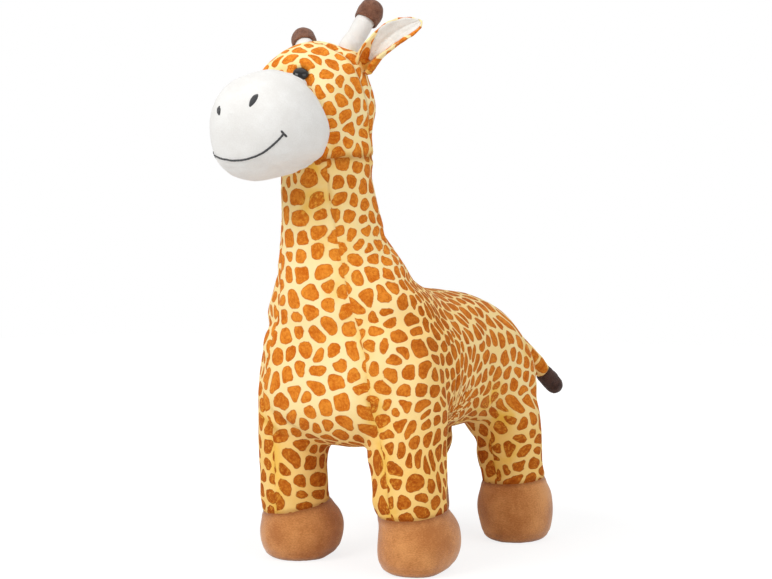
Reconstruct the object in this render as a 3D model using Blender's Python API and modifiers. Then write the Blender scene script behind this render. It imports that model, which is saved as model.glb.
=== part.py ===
"""A stuffed toy giraffe that stands on four padded hooves.

The giraffe faces -Y, its left side is +X, and it stands on the plane z = 0.
Its cover and filling together are one firm form for each sewn section, and each smaller
form is cut by the larger one that it is sewn to. Lengths are in metres.
"""

import math

import bmesh
import bpy
from mathutils import Matrix, Vector

PART_NAME = "plush_giraffe"

# Sewing and clearances
SEAM_GAP = 0.0003
CUT_OVERRUN = 0.004
MERGE_DISTANCE = 0.00001
FORM_LEVELS = 1
BODY_RING_POINTS = 16
LEG_RING_POINTS = 10
SMALL_RING_POINTS = 8
TURNED_STEPS = 16
DOME_STEPS = 5
ROUND_BOXINESS_SHARE = 2.0
GUIDE_REACH = 0.500

# Place of the four hooves on the ground, from the middle of the object's box
STANCE_OFFSET_X = 0.0112
STANCE_OFFSET_Y = 0.0256
HOOF_TRACK_SHARE = 0.671
HOOF_WHEELBASE_SHARE = 0.635
REAR_RIGHT_STEP = 0.008
REAR_LEFT_STEP = 0.003

# Torso, from chest to rump
TORSO_LENGTH = 0.252
TORSO_WIDTH = 0.170
TORSO_HEIGHT = 0.119
BELLY_HEIGHT = 0.100
TORSO_SWAY = 0.006
TORSO_SHIFT_Y = -0.006
TORSO_BOXINESS_SHARE = 2.6
# length share, rise share of height, half width share, half height share, sway share
TORSO_SHARES = (
    (-0.512, -0.05, 0.32, 0.32, 0.0),
    (-0.496, -0.04, 0.64, 0.64, 0.0),
    (-0.452, -0.03, 0.82, 0.88, 0.0),
    (-0.350, -0.04, 0.93, 1.04, 0.0),
    (-0.190, -0.01, 0.96, 1.06, 0.0),
    (0.040, 0.02, 0.89, 1.03, 0.1),
    (0.220, 0.00, 0.93, 0.98, 0.3),
    (0.360, -0.10, 0.88, 0.785, 0.6),
    (0.452, -0.19, 0.72, 0.53, 0.9),
    (0.504, -0.20, 0.42, 0.31, 1.0),
)

# Neck, from inside the torso up to the crease below the head
NECK_BASE_HEIGHT_SHARE = 0.504
NECK_BASE_LENGTH_SHARE = -0.238
NECK_LENGTH = 0.200
NECK_WIDTH = 0.074
NECK_LEAN = 0.040
NECK_SWAY = -0.012
# length share, lean share, half width share, half depth share
NECK_SHARES = (
    (0.00, 0.10, 1.40, 1.20),
    (0.13, 0.18, 2.17, 1.71),
    (0.26, 0.38, 1.97, 1.61),
    (0.38, 0.64, 1.43, 1.31),
    (0.50, 0.86, 1.13, 1.11),
    (0.66, 1.00, 1.00, 1.01),
    (0.84, 0.98, 0.98, 1.01),
    (1.00, 0.94, 0.93, 0.98),
)

# Head, turned about its own centre, which lies near the top of the neck
HEAD_FROM_NECK_X = -0.005
HEAD_FROM_NECK_Y = -0.008
HEAD_FROM_NECK_Z = 0.008
HEAD_PITCH_DEGREES = 22.0
HEAD_ROLL_DEGREES = 12.0
HEAD_WIDTH = 0.086
HEAD_HEIGHT = 0.0915
HEAD_BACK = 0.044
HEAD_FRONT = 0.038
# share of the way from back to front, radius share
HEAD_SHARES = (
    (0.00, 0.45),
    (0.12, 0.80),
    (0.34, 1.01),
    (0.62, 1.03),
    (0.86, 0.94),
    (1.00, 0.84),
)

# Muzzle, a white ball sewn to the front ring of the head
MUZZLE_WIDTH = 0.083
MUZZLE_HEIGHT = 0.0845
MUZZLE_LENGTH = 0.0695
MUZZLE_DROP = 0.0012
MUZZLE_SHARES = (
    (0.00, 0.80),
    (0.14, 0.94),
    (0.40, 1.04),
    (0.68, 0.98),
    (0.90, 0.70),
    (1.00, 0.34),
)

# Eyes: a domed button with a shank, held by a washer inside the head
EYE_DIAMETER = 0.0124
EYE_DOME_HEIGHT = 0.0046
EYE_SHANK_DIAMETER = 0.0040
EYE_SHANK_LENGTH = 0.0130
EYE_SINK = 0.0010
EYE_LATERAL_SHARE = 0.287
EYE_RISE_SHARE = 0.287
EYE_FORWARD_SHARE = 0.950
EYE_LEAN_DEGREES = 18.0
WASHER_DIAMETER = 0.0140
WASHER_THICKNESS = 0.0024
WASHER_DEPTH = 0.0060

# Horns, seated on the crown by shares of the head's width, height and back
HORN_LENGTH = 0.046
HORN_DIAMETER = 0.0160
HORN_LATERAL_SHARE = 0.256
HORN_RISE_SHARE = 0.317
HORN_SETBACK_SHARE = 0.864
HORN_SPLAY_SHARES = (0.40, -0.74, 0.54)
HORN_TIP_DIAMETER = 0.0205
HORN_TIP_LENGTH = 0.0215
# share of the way from the base to the middle of the tip, radius share
HORN_STEM_SHARES = (
    (-0.28, 1.00),
    (0.00, 1.05),
    (0.50, 1.00),
    (1.00, 0.95),
    (1.11, 0.50),
)
HORN_TIP_SHARES = (
    (0.00, 0.72),
    (0.14, 0.98),
    (0.50, 1.04),
    (0.86, 0.84),
    (1.00, 0.46),
)

# Ears, seated on the sides of the head by shares of its width, height and back
EAR_LENGTH = 0.0585
EAR_WIDTH = 0.0245
EAR_THICKNESS = 0.0080
EAR_CUP = 0.0050
EAR_BOW = 0.0045
EAR_ROOT_LEFT_SHARE = 0.504
EAR_ROOT_RIGHT_SHARE = 0.513
EAR_ROOT_RISE_SHARE = 0.112
EAR_ROOT_SETBACK_SHARE = 0.477
EAR_DIRECTION_SHARES = (0.86, -0.39, 0.32)
EAR_DROOP_LEFT_DEGREES = -4.0
EAR_DROOP_RIGHT_DEGREES = 32.0
EAR_LINING_THICKNESS = 0.0020
EAR_LINING_LIFT_SHARE = 0.72
# length share, half width share, half thickness share
EAR_SHARES = (
    (-0.06, 0.52, 0.50),
    (0.00, 0.76, 0.95),
    (0.14, 0.84, 1.00),
    (0.36, 0.98, 0.80),
    (0.62, 1.02, 0.70),
    (0.85, 0.76, 0.60),
    (1.00, 0.24, 0.40),
)
EAR_LINING_SHARES = (
    (0.13, 0.20, 0.60),
    (0.20, 0.36, 1.00),
    (0.38, 0.68, 1.00),
    (0.62, 0.80, 1.00),
    (0.82, 0.58, 1.00),
    (0.92, 0.18, 0.60),
)

# Legs
LEG_FRONT_DIAMETER = 0.0590
LEG_REAR_DIAMETER = 0.057
LEG_TOP_SHARE = 0.706
LEG_FRONT_OFFSET_Y = -0.011
LEG_REAR_OFFSET_Y = -0.005
LEG_INSET_X = 0.0015
LEG_FRONT_LEAN = 0.003
LEG_REAR_LEAN = 0.012
# height share from the ankle to the top, lean share, radius share
LEG_SHARES = (
    (-0.08, 0.00, 0.80),
    (0.04, 0.06, 1.01),
    (0.34, 0.50, 1.02),
    (0.64, 1.00, 1.02),
    (0.88, 1.00, 0.94),
    (1.00, 1.00, 0.56),
)

# Hooves and their soles
HOOF_WIDTH = 0.064
HOOF_LENGTH = 0.071
HOOF_FRONT_HEIGHT = 0.047
HOOF_REAR_HEIGHT = 0.056
SOLE_SEAM_HEIGHT = 0.009
SOLE_FLAT_DEPTH = 0.0005
# height share, radius share
HOOF_SHARES = (
    (0.00, 0.54),
    (0.00, 0.77),
    (0.10, 0.91),
    (0.30, 1.02),
    (0.60, 1.03),
    (0.86, 0.95),
    (1.06, 0.70),
)

# Tail, sewn in at the top of the rump
TAIL_ROOT_SIDE_SHARE = 0.162
TAIL_ROOT_LENGTH_SHARE = 0.402
TAIL_ROOT_RISE_SHARE = 0.300
TAIL_LENGTH = 0.083
TAIL_DIAMETER = 0.0150
TAIL_SWING_DEGREES = 29.0
TAIL_DROP_DEGREES = 42.0
TAIL_TIP_LENGTH = 0.026
TAIL_TIP_START_SHARE = 0.97
# length share, radius share
TAIL_SHARES = (
    (-0.105, 0.50),
    (-0.06, 1.00),
    (0.02, 1.20),
    (0.30, 1.19),
    (0.65, 1.00),
    (0.97, 0.86),
    (1.02, 0.60),
)
TAIL_TIP_SHARES = (
    (0.00, 0.84),
    (0.22, 1.00),
    (0.65, 0.98),
    (0.94, 0.66),
    (1.00, 0.36),
)

COLOUR_GROUND = (0.93, 0.66, 0.26, 1.0)
COLOUR_WHITE = (0.87, 0.86, 0.82, 1.0)
COLOUR_HOOF = (0.47, 0.20, 0.07, 1.0)
COLOUR_HORN_TIP = (0.23, 0.11, 0.07, 1.0)
COLOUR_TAIL_TIP = (0.07, 0.03, 0.025, 1.0)
COLOUR_EYE = (0.006, 0.005, 0.005, 1.0)
COLOUR_WASHER = (0.75, 0.75, 0.72, 1.0)


AXIS_X = Vector((1, 0, 0))
AXIS_Y = Vector((0, 1, 0))
AXIS_Z = Vector((0, 0, 1))


def clear_scene():
    """Remove every object that the file holds."""
    for item in list(bpy.data.objects):
        bpy.data.objects.remove(item, do_unlink=True)


def new_collection(name):
    """Return a collection that is linked to the scene."""
    group = bpy.data.collections.new(name)
    bpy.context.scene.collection.children.link(group)
    return group


def new_material(name, colour, roughness, sheen):
    """Return a Principled material."""
    material = bpy.data.materials.new(name)
    material.use_nodes = True
    shader = material.node_tree.nodes["Principled BSDF"]
    shader.inputs["Base Color"].default_value = colour
    shader.inputs["Roughness"].default_value = roughness
    shader.inputs["Sheen Weight"].default_value = sheen
    shader.inputs["Metallic"].default_value = 0.0
    material.diffuse_color = colour
    return material


def cage_gain(count):
    """How much wider a ring of the cage is than the smooth form inside it."""
    return 3.0 / (2.0 + math.cos(math.tau / count))


def rounded(value, boxiness):
    """A cosine or sine bent towards a rounded square."""
    return math.copysign(abs(value) ** (2.0 / boxiness), value)


def ring(centre, axes, half_sizes, count, boxiness=ROUND_BOXINESS_SHARE):
    """Points of one section of a form, as an ellipse or a rounded square."""
    gain = cage_gain(count)
    points = []
    for index in range(count):
        angle = math.tau * (index + 0.5) / count
        side = rounded(math.cos(angle), boxiness) * half_sizes[0] * gain
        front = rounded(math.sin(angle), boxiness) * half_sizes[1] * gain
        points.append(centre + axes[0] * side + axes[1] * front)
    return points


class Workshop:
    """Collections, materials and the parent frame that every piece is made with."""

    def __init__(self):
        self.pieces = new_collection(PART_NAME)
        self.cutters = new_collection("cutters")
        self.frame = self.empty("giraffe_frame", None)
        self.frame.location = (STANCE_OFFSET_X, STANCE_OFFSET_Y, 0.0)
        self.materials = {
            "printed_plush": new_material("printed_plush", COLOUR_GROUND, 0.85, 0.4),
            "white_plush": new_material("white_plush", COLOUR_WHITE, 0.85, 0.4),
            "hoof_plush": new_material("hoof_plush", COLOUR_HOOF, 0.80, 0.4),
            "horn_tip_plush": new_material("horn_tip_plush", COLOUR_HORN_TIP, 0.85, 0.4),
            "tail_tip_plush": new_material("tail_tip_plush", COLOUR_TAIL_TIP, 0.85, 0.4),
            "eye_plastic": new_material("eye_plastic", COLOUR_EYE, 0.08, 0.0),
            "washer_plastic": new_material("washer_plastic", COLOUR_WASHER, 0.45, 0.0),
        }

    def empty(self, name, parent):
        """Return an empty that carries other pieces."""
        item = bpy.data.objects.new(name, None)
        item.parent = parent
        self.pieces.objects.link(item)
        return item

    def link(self, name, mesh, material, parent):
        """Make a shown object from a mesh."""
        item = bpy.data.objects.new(name, mesh)
        item.parent = parent
        if material:
            mesh.materials.append(self.materials[material])
        self.pieces.objects.link(item)
        return item

    def soft_form(self, name, rings, material, parent):
        """Loft a coarse cage through the rings and smooth it into a stuffed form."""
        cage = bmesh.new()
        loops = [[cage.verts.new(point) for point in points] for points in rings]
        for lower, upper in zip(loops, loops[1:]):
            for index in range(len(lower)):
                after = (index + 1) % len(lower)
                cage.faces.new((lower[index], lower[after], upper[after], upper[index]))
        cage.faces.new(list(reversed(loops[0])))
        cage.faces.new(loops[-1])
        bmesh.ops.recalc_face_normals(cage, faces=cage.faces)
        mesh = bpy.data.meshes.new(name)
        cage.to_mesh(mesh)
        cage.free()
        mesh.shade_smooth()
        item = self.link(name, mesh, material, parent)
        smooth = item.modifiers.new("stuffed", "SUBSURF")
        smooth.levels = FORM_LEVELS
        smooth.render_levels = FORM_LEVELS
        facets = item.modifiers.new("facets", "TRIANGULATE")
        facets.quad_method = "FIXED"
        return item

    def turned(self, name, profile, material, parent):
        """Turn an outline, given from top to bottom as (radius, height), about Z."""
        mesh = bpy.data.meshes.new(name)
        points = [(radius, 0.0, height) for radius, height in profile]
        mesh.from_pydata(points, [(i, i + 1) for i in range(len(points) - 1)], [])
        item = self.link(name, mesh, material, parent)
        screw = item.modifiers.new("turned", "SCREW")
        screw.axis = "Z"
        screw.steps = TURNED_STEPS
        screw.render_steps = TURNED_STEPS
        screw.use_merge_vertices = True
        screw.merge_threshold = MERGE_DISTANCE
        screw.use_smooth_shade = False
        return item

    def as_cutter(self, item):
        """Move a piece to the cutters, where it is only a guide for cuts."""
        self.pieces.objects.unlink(item)
        self.cutters.objects.link(item)
        item.hide_render = True
        item.display_type = "WIRE"
        return item

    def swollen_copy(self, item):
        """Return a guide that is larger than the piece by the seam gap all round."""
        guide = item.copy()
        guide.name = "cutter_" + item.name
        self.cutters.objects.link(guide)
        guide.hide_render = True
        guide.display_type = "WIRE"
        swell = guide.modifiers.new("seam_gap", "DISPLACE")
        swell.strength = SEAM_GAP
        swell.mid_level = 0.0
        return guide


def cut(item, guide):
    """Take the guide's space out of the piece."""
    trim = item.modifiers.new("cut_by_" + guide.name, "BOOLEAN")
    trim.operation = "DIFFERENCE"
    trim.solver = "EXACT"
    trim.object = guide


def torso_place(side_share, length_share, rise_share):
    """Place in the torso, by shares of its half width, its length and its height."""
    middle = BELLY_HEIGHT + TORSO_HEIGHT / 2
    place_y = TORSO_SHIFT_Y + TORSO_LENGTH * length_share
    return Vector((TORSO_WIDTH / 2 * side_share, place_y, middle + TORSO_HEIGHT * rise_share))


def make_torso(shop):
    """Rounded box from chest to rump."""
    rings = []
    for length, rise, wide, high, sway in TORSO_SHARES:
        centre = torso_place(0, length, rise) + AXIS_X * TORSO_SWAY * sway
        halves = (TORSO_WIDTH / 2 * wide, TORSO_HEIGHT / 2 * high)
        rings.append(ring(centre, (AXIS_X, AXIS_Z), halves, BODY_RING_POINTS, TORSO_BOXINESS_SHARE))
    return shop.soft_form("torso", rings, "printed_plush", shop.frame)


def neck_place(length_share, lean_share):
    """Place on the line of the neck, by shares of its length and its lean."""
    base = torso_place(0, NECK_BASE_LENGTH_SHARE, NECK_BASE_HEIGHT_SHARE - 0.5)
    return base + Vector((NECK_SWAY * lean_share, -NECK_LEAN * lean_share, NECK_LENGTH * length_share))


def make_neck(shop):
    """Tall tapering column that leans forward as it rises from the torso."""
    rings = []
    for length, lean, wide, deep in NECK_SHARES:
        centre = neck_place(length, lean)
        halves = (NECK_WIDTH / 2 * wide, NECK_WIDTH / 2 * deep)
        rings.append(ring(centre, (AXIS_X, AXIS_Y), halves, BODY_RING_POINTS))
    return shop.soft_form("neck", rings, "printed_plush", shop.frame)


def make_head_frame(shop):
    """Empty at the head's centre: +X is the giraffe's left, -Y its snout, +Z its crown."""
    frame = shop.empty("head_frame", shop.frame)
    pitch = Matrix.Rotation(math.radians(HEAD_PITCH_DEGREES), 4, "X")
    roll = Matrix.Rotation(-math.radians(HEAD_ROLL_DEGREES), 4, "Y")
    centre = neck_place(1, 1) + Vector((HEAD_FROM_NECK_X, HEAD_FROM_NECK_Y, HEAD_FROM_NECK_Z))
    frame.matrix_local = Matrix.Translation(centre) @ pitch @ roll
    return frame


def make_head(shop, frame):
    """Ball that narrows to the seam ring of the muzzle."""
    rings = []
    for length, radius in HEAD_SHARES:
        centre = Vector((0, HEAD_BACK - (HEAD_BACK + HEAD_FRONT) * length, 0))
        halves = (HEAD_WIDTH / 2 * radius, HEAD_HEIGHT / 2 * radius)
        rings.append(ring(centre, (AXIS_X, AXIS_Z), halves, BODY_RING_POINTS))
    return shop.soft_form("head", rings, "printed_plush", frame)


def make_muzzle(shop, frame):
    """White ball in front of the head's seam ring."""
    rings = []
    for length, radius in MUZZLE_SHARES:
        centre = Vector((0, -HEAD_FRONT - MUZZLE_LENGTH * length, -MUZZLE_DROP))
        halves = (MUZZLE_WIDTH / 2 * radius, MUZZLE_HEIGHT / 2 * radius)
        rings.append(ring(centre, (AXIS_X, AXIS_Z), halves, BODY_RING_POINTS))
    return shop.soft_form("muzzle", rings, "white_plush", frame)


def side_name(side):
    """Left is +X."""
    return "left" if side > 0 else "right"


def facing(direction):
    """Turn that points +Z along a direction."""
    return direction.to_track_quat("Z", "Y").to_matrix().to_4x4()


def make_eye(shop, frame, head, muzzle, side):
    """Domed button, its washer, and the pocket in head and muzzle that both sit in."""
    name = side_name(side)
    lateral = HEAD_WIDTH * EYE_LATERAL_SHARE
    seat = Vector((side * lateral, -HEAD_FRONT * EYE_FORWARD_SHARE, HEAD_HEIGHT * EYE_RISE_SHARE))
    outward = Vector((seat.x, 0, seat.z)).normalized()
    lean = math.radians(EYE_LEAN_DEGREES)
    outward = outward * math.cos(lean) - AXIS_Y * math.sin(lean)
    mount = shop.empty("eye_frame_" + name, frame)
    mount.matrix_local = Matrix.Translation(seat - outward * EYE_SINK) @ facing(outward)
    radius = EYE_DIAMETER / 2
    shank = EYE_SHANK_DIAMETER / 2
    profile = []
    for step in range(DOME_STEPS + 1):
        angle = math.pi / 2 * step / DOME_STEPS
        profile.append((radius * math.sin(angle), EYE_SINK + EYE_DOME_HEIGHT * math.cos(angle)))
    profile += [(radius, 0), (shank, 0), (shank, -EYE_SHANK_LENGTH), (0, -EYE_SHANK_LENGTH)]
    shop.turned("eye_" + name, profile, "eye_plastic", mount)
    inner = shank + SEAM_GAP
    outer = WASHER_DIAMETER / 2
    high = -WASHER_DEPTH
    low = high - WASHER_THICKNESS
    washer = [(outer, high), (outer, low), (inner, low), (inner, high), (outer, high)]
    shop.turned("eye_washer_" + name, washer, "washer_plastic", mount)
    rim = radius + SEAM_GAP
    room = outer + SEAM_GAP
    floor = -EYE_SHANK_LENGTH - SEAM_GAP
    pocket = [
        (0, EYE_DIAMETER),
        (rim, EYE_DIAMETER),
        (rim, -SEAM_GAP),
        (inner, -SEAM_GAP),
        (inner, high + SEAM_GAP),
        (room, high + SEAM_GAP),
        (room, low - SEAM_GAP),
        (inner, low - SEAM_GAP),
        (inner, floor),
        (0, floor),
    ]
    cutter = shop.as_cutter(shop.turned("cutter_eye_" + name, pocket, None, mount))
    cut(head, cutter)
    cut(muzzle, cutter)


def round_rings(base, length, radius, shares):
    """Sections of a small round piece about its own Z axis."""
    rings = []
    for rise, size in shares:
        centre = AXIS_Z * (base + length * rise)
        halves = (radius * size, radius * size)
        rings.append(ring(centre, (AXIS_X, AXIS_Y), halves, SMALL_RING_POINTS))
    return rings


def make_horn(shop, frame, head_guide, side):
    """White stem with a brown padded cap."""
    name = side_name(side)
    lateral = HEAD_WIDTH * HORN_LATERAL_SHARE
    base = Vector((side * lateral, HEAD_BACK * HORN_SETBACK_SHARE, HEAD_HEIGHT * HORN_RISE_SHARE))
    outward, forward, up = HORN_SPLAY_SHARES
    mount = shop.empty("horn_frame_" + name, frame)
    turn = facing(Vector((side * outward, -forward, up)))
    mount.matrix_local = Matrix.Translation(base) @ turn
    stem_length = HORN_LENGTH - HORN_TIP_LENGTH / 2
    rings = round_rings(0, stem_length, HORN_DIAMETER / 2, HORN_STEM_SHARES)
    stem = shop.soft_form("horn_stem_" + name, rings, "white_plush", mount)
    cut(stem, head_guide)
    tip_base = HORN_LENGTH - HORN_TIP_LENGTH
    rings = round_rings(tip_base, HORN_TIP_LENGTH, HORN_TIP_DIAMETER / 2, HORN_TIP_SHARES)
    tip = shop.soft_form("horn_tip_" + name, rings, "horn_tip_plush", mount)
    cut(tip, shop.swollen_copy(stem))


def ear_rings(side, half_thick, lift, shares):
    """Sections of a flat pad whose edges curl to the front, which is -Y."""
    rings = []
    gain = cage_gain(SMALL_RING_POINTS)
    for length, wide, thick in shares:
        bow = side * EAR_BOW * math.sin(math.pi * max(length, 0))
        points = []
        for index in range(SMALL_RING_POINTS):
            angle = math.tau * (index + 0.5) / SMALL_RING_POINTS
            across = EAR_WIDTH / 2 * wide * math.cos(angle)
            curl = EAR_CUP * (across / (EAR_WIDTH / 2)) ** 2
            depth = half_thick * thick * math.sin(angle) * gain - curl - lift
            points.append(Vector((across * gain - bow, depth, EAR_LENGTH * length)))
        rings.append(points)
    return rings


def make_ear(shop, frame, side):
    """Cupped printed ear with a white lining, carried on the axis of its sewn root."""
    name = side_name(side)
    lateral = HEAD_WIDTH * (EAR_ROOT_LEFT_SHARE if side > 0 else EAR_ROOT_RIGHT_SHARE)
    rise = HEAD_HEIGHT * EAR_ROOT_RISE_SHARE
    root = Vector((side * lateral, HEAD_BACK * EAR_ROOT_SETBACK_SHARE, rise))
    outward, forward, up = EAR_DIRECTION_SHARES
    direction = Vector((side * outward, -forward, up)).normalized()
    droop = EAR_DROOP_LEFT_DEGREES if side > 0 else EAR_DROOP_RIGHT_DEGREES
    direction.rotate(Matrix.Rotation(math.radians(side * droop), 3, "Y"))
    back = (AXIS_Y - direction * direction.y).normalized()
    turn = Matrix((back.cross(direction), back, direction)).transposed().to_4x4()
    hinge = shop.empty("ear_frame_" + name, frame)
    hinge.matrix_local = Matrix.Translation(root) @ turn
    half_thick = EAR_THICKNESS / 2
    rings = ear_rings(side, half_thick, 0, EAR_SHARES)
    outer = shop.soft_form("ear_outer_" + name, rings, "printed_plush", hinge)
    lift = half_thick * EAR_LINING_LIFT_SHARE
    rings = ear_rings(side, EAR_LINING_THICKNESS / 2, lift, EAR_LINING_SHARES)
    lining = shop.soft_form("ear_lining_" + name, rings, "white_plush", hinge)
    cut(lining, shop.swollen_copy(outer))


def hoof_place(side, end):
    """Centre of a hoof on the ground. The front end is -1."""
    track = TORSO_WIDTH * HOOF_TRACK_SHARE
    place = Vector((side * track / 2, end * TORSO_LENGTH * HOOF_WHEELBASE_SHARE / 2, 0))
    if end > 0 and side < 0:
        place += Vector((REAR_RIGHT_STEP / 2, REAR_RIGHT_STEP, 0))
    if end > 0 and side > 0:
        place += AXIS_Y * REAR_LEFT_STEP
    return place


def make_leg(shop, torso_guide, side, end):
    """Leg from the ankle up into the side of the torso."""
    front = end < 0
    name = ("front" if front else "rear") + "_leg_" + side_name(side)
    ankle = HOOF_FRONT_HEIGHT if front else HOOF_REAR_HEIGHT
    lean = LEG_FRONT_LEAN if front else LEG_REAR_LEAN
    offset = LEG_FRONT_OFFSET_Y if front else LEG_REAR_OFFSET_Y
    diameter = LEG_FRONT_DIAMETER if front else LEG_REAR_DIAMETER
    place = hoof_place(side, end)
    top = BELLY_HEIGHT + TORSO_HEIGHT * LEG_TOP_SHARE
    rings = []
    for rise, shift, radius in LEG_SHARES:
        height = ankle + (top - ankle) * rise
        centre = place + Vector((-side * LEG_INSET_X, offset - lean * shift, height))
        size = diameter / 2 * radius
        rings.append(ring(centre, (AXIS_X, AXIS_Y), (size, size), LEG_RING_POINTS))
    leg = shop.soft_form(name, rings, "printed_plush", shop.frame)
    cut(leg, torso_guide)
    return leg


def hoof_form(shop, name, side, end):
    """Whole round of a hoof and its sole, which two pieces share."""
    height = HOOF_FRONT_HEIGHT if end < 0 else HOOF_REAR_HEIGHT
    rings = []
    for rise, radius in HOOF_SHARES:
        place_z = -SOLE_FLAT_DEPTH + (height + SOLE_FLAT_DEPTH) * rise
        centre = hoof_place(side, end) + AXIS_Z * place_z
        halves = (HOOF_WIDTH / 2 * radius, HOOF_LENGTH / 2 * radius)
        rings.append(ring(centre, (AXIS_X, AXIS_Y), halves, LEG_RING_POINTS))
    return shop.soft_form(name, rings, "hoof_plush", shop.frame)


def make_hoof(shop, leg, side, end):
    """Padded hoof under the leg, with a sole that is flat where it stands."""
    name = ("front_" if end < 0 else "rear_") + side_name(side)
    hoof = hoof_form(shop, "hoof_" + name, side, end)
    cut(hoof, shop.swollen_copy(leg))
    cut(hoof, shop.below_seam)
    sole = hoof_form(shop, "hoof_sole_" + name, side, end)
    cut(sole, shop.above_seam)
    cut(sole, shop.ground)


def make_block(shop, name, low, high):
    """Wide block between two heights, a guide that cuts the hooves and soles flat."""
    mesh = bpy.data.meshes.new(name)
    block = bmesh.new()
    bmesh.ops.create_cube(block, size=1.0)
    bmesh.ops.scale(block, vec=(GUIDE_REACH, GUIDE_REACH, high - low), verts=block.verts)
    block.to_mesh(mesh)
    block.free()
    item = shop.link(name, mesh, None, shop.frame)
    item.location = AXIS_Z * (low + high) / 2
    return shop.as_cutter(item)


def make_tail(shop):
    """Soft tapering tail that hangs back and to the giraffe's left, with a dark tip."""
    root = torso_place(TAIL_ROOT_SIDE_SHARE, TAIL_ROOT_LENGTH_SHARE, TAIL_ROOT_RISE_SHARE)
    root += AXIS_X * TORSO_SWAY
    swing = math.radians(TAIL_SWING_DEGREES)
    drop = math.radians(TAIL_DROP_DEGREES)
    level = AXIS_X * math.sin(swing) + AXIS_Y * math.cos(swing)
    direction = level * math.cos(drop) - AXIS_Z * math.sin(drop)
    across = direction.cross(AXIS_Z).normalized()
    turn = Matrix((across, direction.cross(across), direction)).transposed().to_4x4()
    hinge = shop.empty("tail_frame", shop.frame)
    hinge.matrix_local = Matrix.Translation(root) @ turn
    radius = TAIL_DIAMETER / 2
    rings = round_rings(0, TAIL_LENGTH, radius, TAIL_SHARES)
    tail = shop.soft_form("tail", rings, "printed_plush", hinge)
    tip_base = TAIL_LENGTH * TAIL_TIP_START_SHARE
    rings = round_rings(tip_base, TAIL_TIP_LENGTH, radius, TAIL_TIP_SHARES)
    tip = shop.soft_form("tail_tip", rings, "tail_tip_plush", hinge)
    cut(tip, shop.swollen_copy(tail))


def main():
    clear_scene()
    shop = Workshop()
    shop.ground = make_block(shop, "cutter_ground", -CUT_OVERRUN, 0.0)
    shop.below_seam = make_block(shop, "cutter_below_seam", -CUT_OVERRUN, SOLE_SEAM_HEIGHT)
    shop.above_seam = make_block(shop, "cutter_above_seam", SOLE_SEAM_HEIGHT - SEAM_GAP, TORSO_HEIGHT)
    torso = make_torso(shop)
    torso_guide = shop.swollen_copy(torso)
    neck = make_neck(shop)
    head_frame = make_head_frame(shop)
    head = make_head(shop, head_frame)
    head_guide = shop.swollen_copy(head)
    cut(neck, torso_guide)
    cut(neck, head_guide)
    muzzle = make_muzzle(shop, head_frame)
    cut(muzzle, head_guide)
    cut(neck, shop.swollen_copy(muzzle))
    for side in (1, -1):
        make_eye(shop, head_frame, head, muzzle, side)
        make_horn(shop, head_frame, head_guide, side)
        make_ear(shop, head_frame, side)
        for end in (-1, 1):
            leg = make_leg(shop, torso_guide, side, end)
            make_hoof(shop, leg, side, end)
    make_tail(shop)


main()
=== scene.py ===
"""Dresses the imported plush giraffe: printed velour, white muzzle, padded hooves, glossy eyes."""

import math

import bmesh
import bpy
import numpy as np
from mathutils import Matrix, Vector
from mathutils.bvhtree import BVHTree


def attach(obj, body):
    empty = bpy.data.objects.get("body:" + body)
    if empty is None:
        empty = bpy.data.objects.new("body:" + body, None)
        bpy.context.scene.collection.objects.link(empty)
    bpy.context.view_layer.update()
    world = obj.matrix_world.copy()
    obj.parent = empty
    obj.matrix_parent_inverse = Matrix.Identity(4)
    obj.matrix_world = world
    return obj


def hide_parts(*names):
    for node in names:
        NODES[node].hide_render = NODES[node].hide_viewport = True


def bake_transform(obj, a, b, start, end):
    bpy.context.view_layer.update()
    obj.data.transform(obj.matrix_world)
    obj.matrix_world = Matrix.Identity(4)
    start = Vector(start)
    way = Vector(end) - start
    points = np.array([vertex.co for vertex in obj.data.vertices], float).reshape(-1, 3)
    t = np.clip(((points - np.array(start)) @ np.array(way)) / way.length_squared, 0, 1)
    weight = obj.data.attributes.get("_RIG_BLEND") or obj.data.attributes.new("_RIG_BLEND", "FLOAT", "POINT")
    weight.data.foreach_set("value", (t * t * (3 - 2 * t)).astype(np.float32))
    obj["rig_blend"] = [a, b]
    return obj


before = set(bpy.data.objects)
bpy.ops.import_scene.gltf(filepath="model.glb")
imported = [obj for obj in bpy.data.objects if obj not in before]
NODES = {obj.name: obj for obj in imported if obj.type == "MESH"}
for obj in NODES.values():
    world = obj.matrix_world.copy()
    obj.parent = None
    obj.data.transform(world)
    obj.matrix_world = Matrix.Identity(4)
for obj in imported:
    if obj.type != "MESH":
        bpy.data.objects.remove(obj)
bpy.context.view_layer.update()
SCENE = bpy.context.scene

# Where the body stands in the row frame, and the camera that the photograph was taken with
SHIFT_X, SHIFT_Y = 0.0112, 0.0256
CAMERA = Vector((0.5903 + SHIFT_X, -0.9444 + SHIFT_Y, 0.220))
VIEW_RIGHT = Vector((0.8377, 0.5461, 0.0))
VIEW_AHEAD = Vector((-0.5461, 0.8377, 0.0))
FOCAL_PIXELS = 1300.0
FRAME_WIDTH, FRAME_HEIGHT = 772, 579
BODY = "stuffed_body"


def srgb(r, g, b):
    """A colour given in 0..255 as the eye sees it, turned into linear light."""
    out = []
    for value in (r, g, b):
        c = value / 255.0
        out.append(c / 12.92 if c <= 0.04045 else ((c + 0.055) / 1.055) ** 2.4)
    return (*out, 1.0)


def smoothstep(low, high, values):
    """0 below low, 1 above high, smooth between. Low may be the greater."""
    t = np.clip((values - low) / (high - low), 0.0, 1.0)
    return t * t * (3.0 - 2.0 * t)


def lerp_table(table, at):
    """Values of a table of (place, value) rows at many places."""
    rows = sorted(table)
    return np.interp(at, [r[0] for r in rows], [r[1] for r in rows])


def bell(values, width):
    """1 at zero, almost nothing at twice the width."""
    return np.exp(-((values / width) ** 2))


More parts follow.
